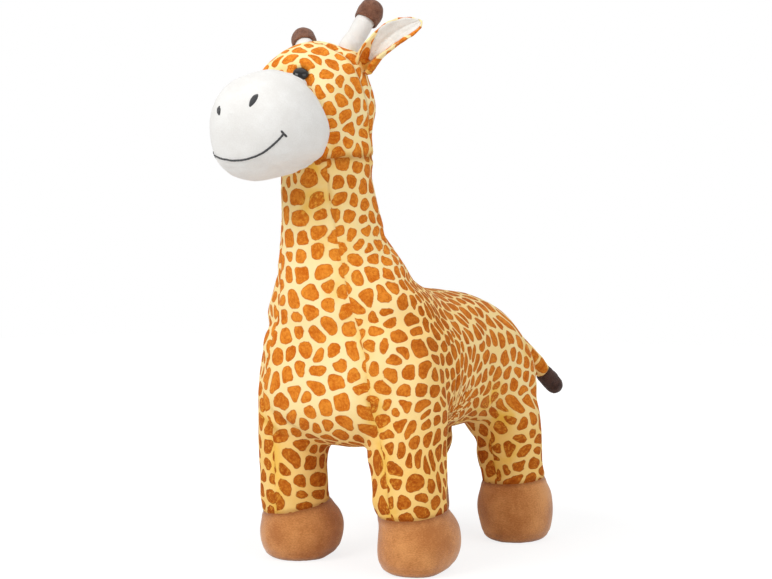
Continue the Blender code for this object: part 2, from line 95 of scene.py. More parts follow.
def band(low, full, until, high, values):
    """1 from full to until, fading to 0 at low and at high."""
    return smoothstep(low, full, values) * smoothstep(high, until, values)


def set_all(thing, settings):
    for key, value in settings.items():
        setattr(thing, key, value)


def read(items, key, wide=1, kind=float):
    """One value or vector of each item, as an array."""
    out = np.zeros(len(items) * wide, kind)
    items.foreach_get(key, out)
    return out.reshape(-1, wide) if wide > 1 else out


def coords(mesh):
    return read(mesh.vertices, "co", 3)


def normals(mesh):
    return read(mesh.vertex_normals, "vector", 3)


def edge_list(mesh):
    return read(mesh.edges, "vertices", 2, np.int64)


def put_coords(mesh, co):
    mesh.vertices.foreach_set("co", np.asarray(co, np.float32).ravel())
    mesh.update()


def put_attribute(mesh, name, values):
    """Store one value or vector for each point."""
    values = np.asarray(values, np.float32)
    kind, key = ("FLOAT", "value") if values.ndim == 1 else ("FLOAT_VECTOR", "vector")
    attribute = mesh.attributes.get(name) or mesh.attributes.new(name, kind, "POINT")
    attribute.data.foreach_set(key, values.ravel())


def get_attribute(mesh, name):
    attribute = mesh.attributes[name]
    key, wide = ("vector", 3) if attribute.data_type == "FLOAT_VECTOR" else ("value", 1)
    return read(attribute.data, key, wide, np.float32)


def new_object(name, data):
    obj = bpy.data.objects.new(name, data)
    SCENE.collection.objects.link(obj)
    return obj


def evaluated(obj):
    """A new mesh with the object's modifiers applied."""
    graph = bpy.context.evaluated_depsgraph_get()
    return bpy.data.meshes.new_from_object(obj.evaluated_get(graph), depsgraph=graph)


def modify(obj, kind, **settings):
    """Apply one modifier to an object."""
    set_all(obj.modifiers.new(kind, kind), settings)
    mesh = evaluated(obj)
    obj.modifiers.clear()
    obj.data = mesh


def opened(*meshes):
    """A working copy of one or more meshes."""
    work = bmesh.new()
    for mesh in meshes:
        work.from_mesh(mesh)
    return work


def closed(work, mesh):
    """Write a working copy to a mesh, and drop it."""
    work.to_mesh(mesh)
    work.free()
    mesh.update()
    return mesh


def drop_faces(work, faces):
    """Take faces out of a working copy, and the points that then belong to none."""
    bmesh.ops.delete(work, geom=faces, context="FACES")
    bmesh.ops.delete(work, geom=[v for v in work.verts if not v.link_faces], context="VERTS")


def relax(co, edges, weight, rounds, swell=0.0):
    """Even out points with their neighbours by each one's weight. Swell gives back what that takes."""
    count = np.bincount(edges.ravel(), minlength=len(co)).astype(float)
    count[count == 0] = 1.0
    for step in range(rounds if not swell else 2 * rounds):
        total = np.zeros_like(co)
        for axis in range(3):
            total[:, axis] = np.bincount(edges[:, 0], co[edges[:, 1], axis], len(co))
            total[:, axis] += np.bincount(edges[:, 1], co[edges[:, 0], axis], len(co))
        share = -swell if swell and step % 2 else 0.5
        co = co + (total / count[:, None] - co) * weight[:, None] * share
    return co


def tree_of(mesh):
    """A mesh's faces, ready to be searched."""
    return BVHTree.FromPolygons([v.co for v in mesh.vertices], [tuple(p.vertices) for p in mesh.polygons])


def distance_to(node, points, limit):
    """How far each point is from a solid of the model, up to a limit."""
    tree = tree_of(NODES[node].data)
    hits = [tree.find_nearest(Vector(p), limit)[3] for p in points]
    return np.array([limit if hit is None else hit for hit in hits])


class Graph:
    """A short way to write shader nodes."""

    def __init__(self, name, roughness, sheen, sheen_roughness=0.4, specular=0.25):
        self.material = bpy.data.materials.new(name)
        self.material.use_nodes = True
        self.tree = self.material.node_tree
        self.shader = self.tree.nodes["Principled BSDF"]
        self.shader.inputs["Roughness"].default_value = roughness
        self.shader.inputs["Sheen Weight"].default_value = sheen
        self.shader.inputs["Sheen Roughness"].default_value = sheen_roughness
        self.shader.inputs["Specular IOR Level"].default_value = specular

    def feed(self, socket, value):
        if isinstance(value, bpy.types.NodeSocket):
            self.tree.links.new(value, socket)
        else:
            socket.default_value = value

    def node(self, kind, inputs, output=0, **settings):
        """One output of a new node, or all of them. An input of None is left as it is."""
        node = self.tree.nodes.new("ShaderNode" + kind)
        set_all(node, settings)
        for key, value in inputs.items():
            if value is not None:
                self.feed(node.inputs[key], value)
        return node.outputs if output is None else node.outputs[output]

    def attribute(self, name, output="Vector"):
        return self.node("Attribute", {}, output, attribute_name=name)

    def math(self, operation, *values):
        return self.node("Math", dict(enumerate(values)), operation=operation)

    def times(self, a, b):
        return self.math("MULTIPLY", a, b)

    def plus(self, a, b):
        return self.math("ADD", a, b)

    def vector(self, operation, a, b=None, scale=None):
        return self.node("VectorMath", {0: a, 1: b, "Scale": scale}, operation=operation)

    def split(self, vector):
        return self.node("SeparateXYZ", {0: vector}, None)

    def noise(self, vector, scale, detail=2.0, roughness=0.5, output="Fac"):
        inputs = {"Vector": vector, "Scale": scale, "Detail": detail, "Roughness": roughness}
        return self.node("TexNoise", inputs, output)

    def stray(self, moved, vector, far, *noise):
        """A vector moved about by a noise over another vector, by up to half a distance each way."""
        aside = self.vector("SUBTRACT", self.noise(vector, *noise, output="Color"), (0.5, 0.5, 0.5))
        return self.vector("ADD", moved, self.vector("SCALE", aside, scale=far))

    def cells(self, vector, feature):
        """Distance to the middle or the edge of the print's cells."""
        inputs = {"Vector": vector, "Scale": 1.0 / CELL, "Randomness": UNEVEN}
        return self.node("TexVoronoi", inputs, "Distance", voronoi_dimensions="2D", feature=feature)

    def mix(self, factor, a, b, kind="RGBA", **settings):
        first, second, output = {"RGBA": (6, 7, 2), "VECTOR": (4, 5, 1)}[kind]
        return self.node("Mix", {0: factor, first: a, second: b}, output, data_type=kind, **settings)

    def ramp(self, value, low, high, out_low=0.0, out_high=1.0):
        inputs = dict(enumerate((value, low, high, out_low, out_high)))
        return self.node("MapRange", inputs, interpolation_type="SMOOTHSTEP")

    def bump(self, height, distance, strength=1.0, normal=None):
        inputs = {"Strength": strength, "Distance": distance, "Height": height, "Normal": normal}
        return self.node("Bump", inputs)

    def finish(self, colour, normal):
        self.feed(self.shader.inputs["Base Color"], colour)
        self.feed(self.shader.inputs["Normal"], normal)
        return self.material


def pile_normal(g, place, pile=0.0004, lumps=0.0006):
    """Bump of a short pile: fine nap, small tufts and slow lumps."""
    first = g.bump(g.noise(place, 2600.0, 2.0, 0.6), pile, 0.35)
    second = g.bump(g.noise(place, 700.0), pile * 1.6, 0.35, first)
    return g.bump(g.noise(place, 90.0, 1.0), lumps, 0.5, second)


# Each pair is the tone on head and chest, then a darker copy of it, laid as painted shade on legs, body, neck and
# shoulder
GROUND = (srgb(255, 240, 192), srgb(253, 216, 142))
GROUND_SHADE = (srgb(253, 224, 152), srgb(250, 200, 112))
SPOT_LIGHT = (srgb(244, 153, 52), srgb(200, 112, 33))
SPOT_DARK = (srgb(205, 103, 20), srgb(154, 68, 10))
SPOT_RIM = (srgb(195, 107, 30), srgb(146, 76, 18))
# A golden ground and the darker spots in it, partly the pile's own tone and partly painted warm shade
GOLD = srgb(246, 192, 76)
SPOT_IN_GOLD = srgb(164, 80, 16)
# Size of the print's cells, how soft their corners are, and how unevenly they lie
CELL = 0.0138
SOFTNESS = CELL * 0.15
UNEVEN = 0.74
# In cells: half width of the pale lines, least and greatest, how far a spot reaches from its middle,
# and how softly these two limits meet
LINE_THIN, LINE_WIDE = 0.112, 0.132
ROUND_AT, ROUNDING = 0.640, 0.10
# Pleats to a radian round the armpit, and how far the print jumps from one to the next
PLEATS = 14.0
PLEAT_JUMP = 0.020


def pleated(g, place, rest):
    """Shift the print from pleat to pleat where the cloth is drawn in. Gives the pleats' edges too, for painted
    shade.
    """
    parts = g.split(g.attribute("fan"))
    bend = g.times(g.noise(rest, 60.0, 1.0), 0.25)
    turn = g.times(g.plus(g.math("ARCTAN2", parts[0], parts[1]), bend), PLEATS)
    random = g.node("TexWhiteNoise", {"W": g.math("FLOOR", turn)}, "Color", noise_dimensions="1D")
    jump = g.vector("SUBTRACT", random, (0.5, 0.5, 0.5))
    jump = g.vector("SCALE", jump, scale=g.times(parts[2], PLEAT_JUMP))
    edge = g.math("ABSOLUTE", g.math("SUBTRACT", g.math("FRACT", turn), 0.5))
    return g.vector("ADD", place, jump), g.times(g.ramp(edge, 0.34, 0.5), parts[2])


def print_material(name, panels):
    """Printed velour. The first row is (cloth attribute,). Later ones, (cloth, field, component), win over it."""
    g = Graph(name, 0.8, 0.05, 0.35, 0.05)
    place = g.attribute(panels[0][0])
    for cloth, field, component in panels[1:]:
        chosen = g.math("GREATER_THAN", g.split(g.attribute(field))[component], 0.0)
        place = g.mix(chosen, place, g.attribute(cloth), "VECTOR")
    rest = g.attribute("rest_place")
    place, pleat_shade = pleated(g, place, rest)
    # Rounded polygons parted by pale lines
    warped = g.stray(place, place, 0.0080, 55.0, 1.0)
    warped = g.stray(warped, place, 0.0005, 420.0, 2.0, 0.55)
    edge = 0.0
    for step in range(6):
        turn = math.pi / 3 * step
        aside = (SOFTNESS * math.cos(turn), SOFTNESS * math.sin(turn), 0.0)
        cells = g.cells(g.vector("ADD", warped, aside), "DISTANCE_TO_EDGE")
        edge = g.math("MULTIPLY_ADD", cells, 1.0 / 6.0, edge)
    line = g.ramp(g.noise(place, 80.0, 1.0), 0.3, 0.7, LINE_THIN, LINE_WIDE)
    line = g.times(line, g.math("MULTIPLY_ADD", g.attribute("tight", "Fac"), -0.17, 1.0))
    round_off = g.times(g.math("SUBTRACT", ROUND_AT, g.cells(warped, "F1")), 0.6)
    inside = g.math("SMOOTH_MIN", g.math("SUBTRACT", edge, line), round_off, ROUNDING)
    spot = g.ramp(inside, -0.011, 0.012)
    core = g.ramp(inside, 0.0, 0.055, 0.35, 1.0)
    # Mottled ink, darker at its rim, on a ground with golden patches
    mottle = g.noise(warped, 420.0, 4.0, 0.7)
    cloud = g.noise(place, 70.0, 2.0, 0.5)
    tone = g.plus(g.times(mottle, 0.75), g.times(cloud, 0.45))
    # deep blends each tone toward its darker copy, as painted shade
    deep = g.attribute("deep", "Fac")
    ink = g.mix(g.ramp(tone, 0.42, 0.78), g.mix(deep, *SPOT_DARK), g.mix(deep, *SPOT_LIGHT))
    ink = g.mix(core, g.mix(deep, *SPOT_RIM), ink)
    ground = g.mix(g.noise(place, 35.0, 2.0), g.mix(deep, *GROUND), g.mix(deep, *GROUND_SHADE))
    # The golden patches and the darker spots in them are partly the pile's own tone, partly painted warm shade
    blotch = g.ramp(g.noise(rest, 60.0, 2.0), 0.38, 0.62, 0.40, 1.0)
    gold = g.times(g.attribute("gold", "Fac"), blotch)
    ground = g.mix(gold, ground, GOLD)
    ink = g.mix(g.times(gold, g.ramp(cloud, 0.45, 0.60, 0.0, 0.6)), ink, SPOT_IN_GOLD)
    ink = g.mix(g.times(gold, g.ramp(mottle, 0.5, 0.62, 0.0, 0.55)), ink, GOLD)
    colour = g.mix(spot, ground, ink)
    # Painted shade: darker in seams, creases and folds, and at the edges of the pleats
    shade = g.times(g.attribute("crease", "Fac"), 0.65)
    shade = g.math("MAXIMUM", shade, g.times(pleat_shade, 0.40))
    colour = g.mix(shade, colour, srgb(150, 90, 40), blend_type="MULTIPLY")
    return g.finish(colour, pile_normal(g, rest))


def two_tones(g, first, second, share, low, dark, light):
    """A colour between two tones, by two noises that are mixed by the share of the first."""
    tone = g.plus(g.times(first, share), g.times(second, 1.0 - share))
    return g.mix(g.ramp(tone, low, 1.0 - low), srgb(*dark), srgb(*light))


def white_velour(name, light=(237, 236, 233), dark=(229, 227, 223)):
    """White short-pile velour with a soft nap."""
    g = Graph(name, 0.8, 0.3, 0.4, 0.15)
    rest = g.attribute("rest_place")
    coarse, fine = g.noise(rest, 60.0, 3.0, 0.6), g.noise(rest, 1300.0)
    return g.finish(two_tones(g, coarse, fine, 0.6, 0.35, dark, light), pile_normal(g, rest))


def hoof_velour(name):
    """Tan velour with lighter strokes where the nap lies over, and painted shade in its seams."""
    g = Graph(name, 0.8, 0.55, 0.45, 0.12)
    rest = g.attribute("rest_place")
    smudge = g.noise(rest, 34.0, 3.0, 0.6)
    fine = g.noise(g.vector("MULTIPLY", rest, (1.0, 1.0, 2.2)), 620.0, 3.0, 0.7)
    colour = two_tones(g, smudge, fine, 0.55, 0.36, (180, 112, 58), (220, 154, 92))
    shade = g.times(g.attribute("crease", "Fac"), 0.7)
    colour = g.mix(shade, colour, srgb(140, 84, 44), blend_type="MULTIPLY")
    return g.finish(colour, pile_normal(g, rest))


def felt(name, light, dark):
    """Dense mottled felt."""
    g = Graph(name, 0.9, 0.25, 0.5, 0.1)
    rest = g.attribute("rest_place")
    speck, cloud = g.noise(rest, 1400.0, 3.0, 0.75), g.noise(rest, 220.0, 2.0, 0.6)
    colour = two_tones(g, speck, cloud, 0.6, 0.36, dark, light)
    return g.finish(colour, g.bump(speck, 0.0006, 0.7, pile_normal(g, rest)))


def sight(px, py):
    """Direction from the camera through a pixel of the photograph."""
    across = (px - FRAME_WIDTH / 2) / FOCAL_PIXELS
    up = (FRAME_HEIGHT / 2 - py) / FOCAL_PIXELS
    return (VIEW_AHEAD + VIEW_RIGHT * across + Vector((0, 0, up))).normalized()


def seen(tree, pixels):
    """Where the lines of sight through pixels meet a surface, without those that miss it."""
    hits = [tree.ray_cast(CAMERA, sight(*p))[0] for p in pixels]
    return [np.array(hit) for hit in hits if hit is not None]


def head_local(co):
    """Points in the head's own frame: +X its left, -Y the snout, +Z the crown."""
    return (np.asarray(co) - np.array(HEAD_AT)) @ np.array(HEAD_TURN)


def from_head(local):
    return np.asarray(local) @ np.array(HEAD_TURN).T + np.array(HEAD_AT)


HEAD_AT = Vector((-0.0058, -0.0884, 0.3680))
HEAD_TURN = Matrix.Rotation(math.radians(22), 3, "X") @ Matrix.Rotation(math.radians(-12), 3, "Y")
# How far the neck leans forward at each height
NECK_LINE = (
    (0.155, 0.0), (0.185, -0.007), (0.212, -0.015), (0.236, -0.026), (0.260, -0.034), (0.292, -0.040),
    (0.400, -0.040),
)
# Half width of the front panel at each height, to the left and to the right
LEFT_WIDTH = (
    (0.040, 0.0555), (0.070, 0.0545), (0.090, 0.0530), (0.100, 0.0510), (0.114, 0.0468), (0.130, 0.0450),
    (0.150, 0.0436), (0.168, 0.0428), (0.186, 0.0380), (0.200, 0.0338), (0.222, 0.0312), (0.245, 0.0279),
    (0.268, 0.0255), (0.285, 0.0238), (0.320, 0.0210),
)
RIGHT_WIDTH = (
    (0.040, 0.0555), (0.063, 0.0535), (0.088, 0.0530), (0.108, 0.0542), (0.122, 0.0600), (0.131, 0.0630),
    (0.150, 0.0600), (0.168, 0.0540), (0.186, 0.0460), (0.200, 0.0400), (0.222, 0.0340), (0.245, 0.0290),
    (0.268, 0.0260), (0.285, 0.0240), (0.320, 0.0210),
)
BACK_WIDTH = (
    (0.04, 0.0555), (0.105, 0.054), (0.118, 0.040), (0.132, 0.016), (0.142, -0.012), (0.200, -0.03),
)
# Seams of the head, along its own depth
MUZZLE_SEAM_Y = -0.0380
HEAD_SEAM_Y = 0.0070
# Centre of each hoof, height of its seam there, and how the seam slopes to the left and to the back
HOOVES = {
    "front_left": (0.06824, -0.05441, 0.0484, 0.027, 0.125),
    "front_right": (-0.04584, -0.05441, 0.0444, 0.118, 0.160),
    "rear_left": (0.06824, 0.10861, 0.0539, 0.020, 0.084),
    "rear_right": (-0.04184, 0.11361, 0.0540, -0.020, 0.084),
}
PRINTED = ("torso", "neck", "head", "front_leg_left", "front_leg_right", "rear_leg_left", "rear_leg_right")
SOLE_SEAM = 0.0065
# How far a cut of cloth reaches over its seams
MARGIN = 0.011


def neck_fields(co):
    """Signed distances that tell the panels apart: gusset seam and middle seam."""
    lean = lerp_table(NECK_LINE, co[:, 2])
    middle = SHIFT_X + lean * 0.3
    axis_y = np.where(co[:, 2] < 0.19, 0.02, -0.066 + SHIFT_Y + lean)
    across = co[:, 0] - middle
    wide = np.where(across > 0, lerp_table(LEFT_WIDTH, co[:, 2]), lerp_table(RIGHT_WIDTH, co[:, 2]))
    front = np.abs(across) - wide
    back = np.abs(across) - lerp_table(BACK_WIDTH, co[:, 2])
    return np.where(co[:, 1] < axis_y, front, back), across


def above_neck_seam(co):
    """Height above the sloping seam of head and neck."""
    return co[:, 2] - (0.3190 + 0.12 * (co[:, 1] + 0.115))


def hoof_field(co):
    """Height above the seams of legs and hooves, whose rims slope a little."""
    best = np.full(len(co), 1.0)
    for x, y, top, slope_x, slope_y in HOOVES.values():
        near = np.hypot(co[:, 0] - x, co[:, 1] - y)
        height = co[:, 2] - top - slope_x * (co[:, 0] - x) - slope_y * (co[:, 1] - y)
        best = np.where(near < 0.045, height, best)
    return best


def unwrap_part(mesh, keep, name):
    """Flatten the kept points of a mesh as one cut of cloth, in metres. Others get zeros."""
    work = opened(mesh)
    number = work.verts.layers.int.new("number")
    for v in work.verts:
        v[number] = v.index
    drop_faces(work, [f for f in work.faces if not all(keep[v.index] for v in f.verts)])
    flat = closed(work, bpy.data.meshes.new(name))
    flat.uv_layers.new(name="UVMap")
    obj = new_object(name, flat)
    bpy.ops.object.select_all(action="DESELECT")
    obj.select_set(True)
    bpy.context.view_layer.objects.active = obj
    bpy.ops.object.mode_set(mode="EDIT")
    bpy.ops.mesh.select_all(action="SELECT")
    bpy.ops.uv.unwrap(method="MINIMUM_STRETCH", iterations=20, margin=0.0)
    bpy.ops.object.mode_set(mode="OBJECT")
    flat = obj.data
    at = np.zeros((len(flat.vertices), 2))
    at[read(flat.loops, "vertex_index", 1, np.int64)] = read(flat.uv_layers[0].uv, "vector", 2)
    index = read(flat.attributes["number"].data, "value", 1, np.int32)
    edges = edge_list(flat)
    co = coords(flat)
    real = np.linalg.norm(co[edges[:, 0]] - co[edges[:, 1]], axis=1)
    drawn = np.linalg.norm(at[edges[:, 0]] - at[edges[:, 1]], axis=1)
    out = np.zeros((len(mesh.vertices), 3))
    out[index, :2] = at * (real.sum() / max(drawn.sum(), 1e-9))
    bpy.data.objects.remove(obj)
    return out


def largest_island(mesh):
    """Drop everything but the island with the most points."""
    edges = edge_list(mesh)
    label = np.arange(len(mesh.vertices))
    while True:
        low = np.minimum(label[edges[:, 0]], label[edges[:, 1]])
        before = label.copy()
        np.minimum.at(label, edges[:, 0], low)
        np.minimum.at(label, edges[:, 1], low)
        label = label[label]
        if np.array_equal(before, label):
            break
    names, counts = np.unique(label, return_counts=True)
    if len(names) == 1:
        return
    keep = names[counts.argmax()]
    work = opened(mesh)
    bmesh.ops.delete(work, geom=[v for v in work.verts if label[v.index] != keep], context="VERTS")
    closed(work, mesh)


# How the cover's cloth behaves while it is blown up: held by one group of points, drawn in at another
CLOTH = {
    "use_pressure": True, "uniform_pressure_force": 4.0, "quality": 5, "mass": 0.2, "tension_stiffness": 12,
    "compression_stiffness": 12, "shear_stiffness": 4, "bending_stiffness": 0.3, "vertex_group_mass": "held",
    "vertex_group_shrink": "drawn", "shrink_min": 0.0, "shrink_max": 0.22,
}
GROWTH_FRAMES = 20
# How far the cover is drawn in before it grows, and pushed out after
SUNK, SWOLLEN = 0.0016, 0.0022


def grow(obj, pins, seams, most):
    """Blow up a padded cover as cloth, from its pins and seams, by no more than the most movement."""
    start = coords(obj.data)
    for name, weights in (("held", pins), ("drawn", seams)):
        group = obj.vertex_groups.new(name=name)
        for i, weight in enumerate(weights):
            if weight > 0.001:
                group.add([i], float(weight), "REPLACE")
    cloth = obj.modifiers.new("cloth", "CLOTH")
    set_all(cloth.settings, CLOTH)
    cloth.settings.effector_weights.gravity = 0.0
    cloth.collision_settings.use_collision = False
    set_all(cloth.point_cache, {"frame_start": 1, "frame_end": GROWTH_FRAMES})
    for number in range(1, GROWTH_FRAMES + 1):
        SCENE.frame_set(number)
    moved = coords(evaluated(obj)) - start
    obj.modifiers.clear()
    obj.vertex_groups.clear()
    # The slow part of the movement would carry a limb off its place, so only the rest is kept
    moved = moved - relax(moved, edge_list(obj.data), np.ones(len(moved)), 50)
    length = np.linalg.norm(moved, axis=1, keepdims=True)
    moved *= np.minimum(1.0, most / np.maximum(length, 1e-9))
    put_coords(obj.data, start + moved)
    put_coords(obj.data, coords(obj.data) + normals(obj.data) * SWOLLEN)
    SCENE.frame_set(1)


def fold(co, nrm, path, depth, width, shade):
    """Sink a line of points into a surface, with raised shoulders, and note how deep in it each point lies."""
    path = np.asarray(path)
    low = path.min(axis=0) - width * 4
    high = path.max(axis=0) + width * 4
    near = np.where(((co > low) & (co < high)).all(axis=1))[0]
    if not len(near):
        return co
    best = np.full(len(near), 1.0)
    along = np.zeros(len(near))
    total = len(path) - 1
    for i in range(total):
        a, b = path[i], path[i + 1]
        span = b - a
        t = np.clip(((co[near] - a) @ span) / max(span @ span, 1e-12), 0, 1)
        d = np.linalg.norm(co[near] - (a + t[:, None] * span), axis=1)
        closer = d < best
        best[closer] = d[closer]
        along[closer] = (i + t[closer]) / total
    ends = np.sin(np.pi * np.clip(along, 0.02, 0.98)) ** 0.6
    dip = -bell(best, width) + 0.35 * bell(best - 2.0 * width, width)
    co = co.copy()
    co[near] += nrm[near] * (dip * depth * ends)[:, None]
    shade[near] = np.maximum(shade[near], bell(best, width) * ends)
    return co


def split_by(mesh, field, name_out, name_in):
    """Cut a mesh along the zero line of a point attribute. Gives (outside, inside) meshes."""
    work = opened(mesh)
    layer = work.verts.layers.float[field]
    fresh = []
    for v in work.verts:
        if abs(v[layer]) < 1e-6:
            v[layer] = 1e-6
    for edge in list(work.edges):
        a, b = edge.verts
        if a[layer] * b[layer] < 0:
            share = a[layer] / (a[layer] - b[layer])
            fresh.append(bmesh.utils.edge_split(edge, a, min(max(share, 0.02), 0.98))[1])
    for v in fresh:
        v[layer] = 0.0
    bmesh.ops.connect_verts(work, verts=fresh)
    out = []
    for name, sign in ((name_out, 1), (name_in, -1)):
        part = work.copy()
        side = part.verts.layers.float[field]
        drop_faces(part, [f for f in part.faces if sum(v[side] for v in f.verts) * sign < 0])
        out.append(closed(part, bpy.data.meshes.new(name)))
    work.free()
    return out


def noise_field(co, scale, seed):
    """Smooth bumps made of a few dozen slow waves."""
    rng = np.random.default_rng(seed)
    total = np.zeros(len(co))
    for _ in range(24):
        direction = rng.normal(size=3)
        direction /= np.linalg.norm(direction)
        rate = rng.uniform(0.6, 1.5) * 2 * math.pi / scale
        total += np.sin(co @ direction * rate + rng.uniform(0, 2 * math.pi))
    return total / math.sqrt(24)


# Small corrections of the outline: place in the photograph, reach, and move to the right and down, in pixels
WARPS = (
    (279, 200, 28, 2.5, 0), (268, 290, 30, 3.0, 0), (259, 365, 35, 2.0, 0), (258, 465, 28, 2.0, 0),
    (281, 186, 8, 1.5, 0), (267, 335, 18, -1.5, 0),
    (261, 500, 9, -1.5, 0), (306, 534, 26, 1.8, 0.8), (452, 508, 8, 2.0, 0), (473, 430, 8, -3.0, 0),
    (480, 525, 14, 2.0, 0), (538, 392, 16, -1.5, 0), (357, 60, 11, 4.0, -4.5),
    (375, 85, 14, -2.5, 0), (373, 118, 14, 1.5, 0), (376, 175, 16, -2.0, 0), (395, 238, 22, -1.8, 0),
    (415, 278, 14, -2.5, 3.0), (515, 322, 20, -1.5, 0), (450, 288, 25, 0, 1.0), (331, 465, 20, -3.0, 0),
    (369, 458, 12, -1.5, 0), (369, 477, 12, 1.5, 0), (374, 505, 8, -2.0, 0), (463, 424, 14, 0, -4.0),
    (541, 472, 8, 2.0, 0), (449, 568, 16, -4.5, -2.0), (376, 540, 18, 2.5, 0),
    (228, 165, 24, -2.5, 1.5), (269, 182, 18, 0, -5.5), (250, 73, 16, 0, 1.5), (322, 132, 20, 5.0, 0),
    (312, 156, 12, 3.0, 0), (267, 334, 16, -2.3, 0), (270, 315, 12, -1.6, 0), (220, 168, 10, -1.2, 0.8),
    (259, 418, 26, 1.3, 0), (342, 520, 14, 1.6, 0), (331, 553, 10, -1.5, -1.0), (277, 179, 8, 0, -2.8),
)
# The same for the rear right leg alone, whose edge is seen behind the front left one
FAR_LEG_WARPS = ((446, 434, 24, 14.0, 0), (452, 425, 10, 3.0, 0))
# And for the underside of the muzzle, which is flatter where it meets the neck
CHIN_WARPS = ((306, 172, 13, 0, -6.0), (288, 179, 12, 0, -4.5))


def pixels_of(co):
    """Where points are seen in the photograph, and how deep they lie."""
    off = co - np.array(CAMERA)
    depth = off @ np.array(VIEW_AHEAD)
    across = off @ np.array(VIEW_RIGHT)
    px = FRAME_WIDTH / 2 + FOCAL_PIXELS * across / depth
    py = FRAME_HEIGHT / 2 - FOCAL_PIXELS * off[:, 2] / depth
    return px, py, depth


def warp(co):
    """Move points along the picture by the corrections of the outline."""
    px, py, depth = pixels_of(co)
    right = np.zeros(len(co))
    down = np.zeros(len(co))
    far_leg = smoothstep(0.02, -0.01, co[:, 0]) * smoothstep(0.05, 0.08, co[:, 1])
    chin = smoothstep(-0.030, -0.040, head_local(co)[:, 1]) * smoothstep(0.285, 0.295, co[:, 2])
    rows = [(*row, 1.0) for row in WARPS] + [(*row, far_leg) for row in FAR_LEG_WARPS]
    rows += [(*row, chin) for row in CHIN_WARPS]
    for x, y, reach, dx, dy, share in rows:
        weight = np.exp(-(((px - x) ** 2 + (py - y) ** 2) / (reach * reach))) * share
        right += weight * dx
        down += weight * dy
    size = (depth / FOCAL_PIXELS)[:, None]
    return co + size * (right[:, None] * np.array(VIEW_RIGHT) - down[:, None] * np.array([0.0, 0.0, 1.0]))


# A plug that fills the seat under each eye, as (height, radius) rows
EYE_PLUG = (
    (-0.0136, 0.0002), (-0.0136, 0.0078), (-0.0052, 0.0078), (-0.0052, 0.0067), (0.0004, 0.0067), (0.0004, 0.0002),
)
# Where chest, nape and rump are evened out: rounds, heights, and where it sets in along the body
EASED = (
    (70, (0.160, 0.180, 0.225, 0.245), (-0.02, -0.05)),
    (60, (0.205, 0.225, 0.270, 0.290), (-0.090, -0.070)),
    (90, (0.078, 0.100, 0.145, 0.175), (0.080, 0.105)),
)


def make_skin():
    """One cover over every padded section, grown as cloth, with the fields of its seams stored for cutting."""
    names = [*PRINTED, "muzzle"]
    for place in HOOVES:
        names += ["hoof_" + place, "hoof_sole_" + place]
    plugs = [lathe(f"plug_{side}", eye_frame(side), EYE_PLUG, 24) for side in (1, -1)]
    work = opened(*[NODES[n].data for n in names], *plugs)
    skin = new_object("skin", closed(work, bpy.data.meshes.new("skin")))
    modify(skin, "REMESH", mode="VOXEL", voxel_size=0.0040)
    mesh = skin.data
    largest_island(mesh)
    co = coords(mesh)
    near = np.sort([distance_to(n, co, 0.03) for n in PRINTED], axis=0)
    joint = smoothstep(0.020, 0.004, near[1])
    edges = edge_list(mesh)
    joint = relax(np.repeat(joint[:, None], 3, axis=1), edges, np.ones(len(co)), 6)[:, 0]
    hoof = hoof_field(co)
    joint *= smoothstep(-0.004, 0.010, hoof)
    joint *= smoothstep(-0.036, -0.020, head_local(co)[:, 1])
    co = relax(co, edges, np.clip(joint, 0, 1), 55)
    for rounds, heights, (off, on) in EASED:
        eased = band(*heights, co[:, 2]) * smoothstep(off, on, co[:, 1])
        co = relax(co, edges, eased, rounds, swell=0.505)
    co = relax(co, edges, bell(hoof, 0.010), 26)
    co = relax(co, edges, np.ones(len(co)), 2)
    co = warp(co)
    put_coords(mesh, co)
    fields = make_fields(mesh)
    co = co - normals(mesh) * SUNK
    put_coords(mesh, co)
    pins = smoothstep(0.010, 0.004, co[:, 2])
    rings = bell(fields["neck_seam"], 0.004) * 0.15
    rings = np.maximum(rings, bell(fields["muzzle"], 0.004) * 0.3)
    upper = smoothstep(0.100, 0.140, co[:, 2])
    rings = np.maximum(rings, bell(fields["gusset"], 0.004) * (fields["neck_seam"] < 0) * 0.04 * upper)
    most = np.where(fields["muzzle"] > 0, 0.0004, np.where(fields["hoof"] < 0, 0.0003, 0.0016))
    most = np.where(fields["neck_seam"] > 0, np.minimum(most, 0.0010), most)
    most = np.where(co[:, 2] < 0.105, np.minimum(most, 0.0007), most)[:, None]
    grow(skin, pins, rings, most)
    modify(skin, "SUBSURF", levels=1, render_levels=1)
    refine(skin.data)
    detail_skin(skin.data)
    return skin


def refine(mesh):
    """Halve the faces round both armpits, where the folds are narrow."""
    work = opened(mesh)
    near = set()
    for face in work.faces:
        at = face.calc_center_median()
        if abs(at.x - SHIFT_X * 0.3) > 0.05 and math.hypot(at.y + 0.016, at.z - 0.132) < 0.046:
            near.update(face.edges)
    bmesh.ops.subdivide_edges(work, edges=list(near), cuts=1, use_grid_fill=True)
    bmesh.ops.triangulate(work, faces=[f for f in work.faces if len(f.verts) > 4])
    closed(work, mesh)


def fan_folds(co):
    """Narrow folds that fan out of each armpit, and how deep in one each point lies."""
    angle, reach = armpit_polar(co)
    uneven = angle + 0.10 * np.sin(angle * 5.0 + 1.0) + 0.012 * noise_field(co, 0.020, 8)
    wave = np.cos(uneven * 27.0) + 0.4 * np.cos(uneven * 15.0 + 2.0)
    high = 0.0009 * np.clip(reach / 0.018, 0.10, 1.0) * smoothstep(0.044, 0.026, reach)
    high *= band(-0.25, 0.10, 1.70, 2.05, angle)
    high *= smoothstep(0.045, 0.060, np.abs(co[:, 0] - SHIFT_X * 0.3))
    return high * wave, np.clip(-wave, 0.0, 1.0) * high / 0.0009


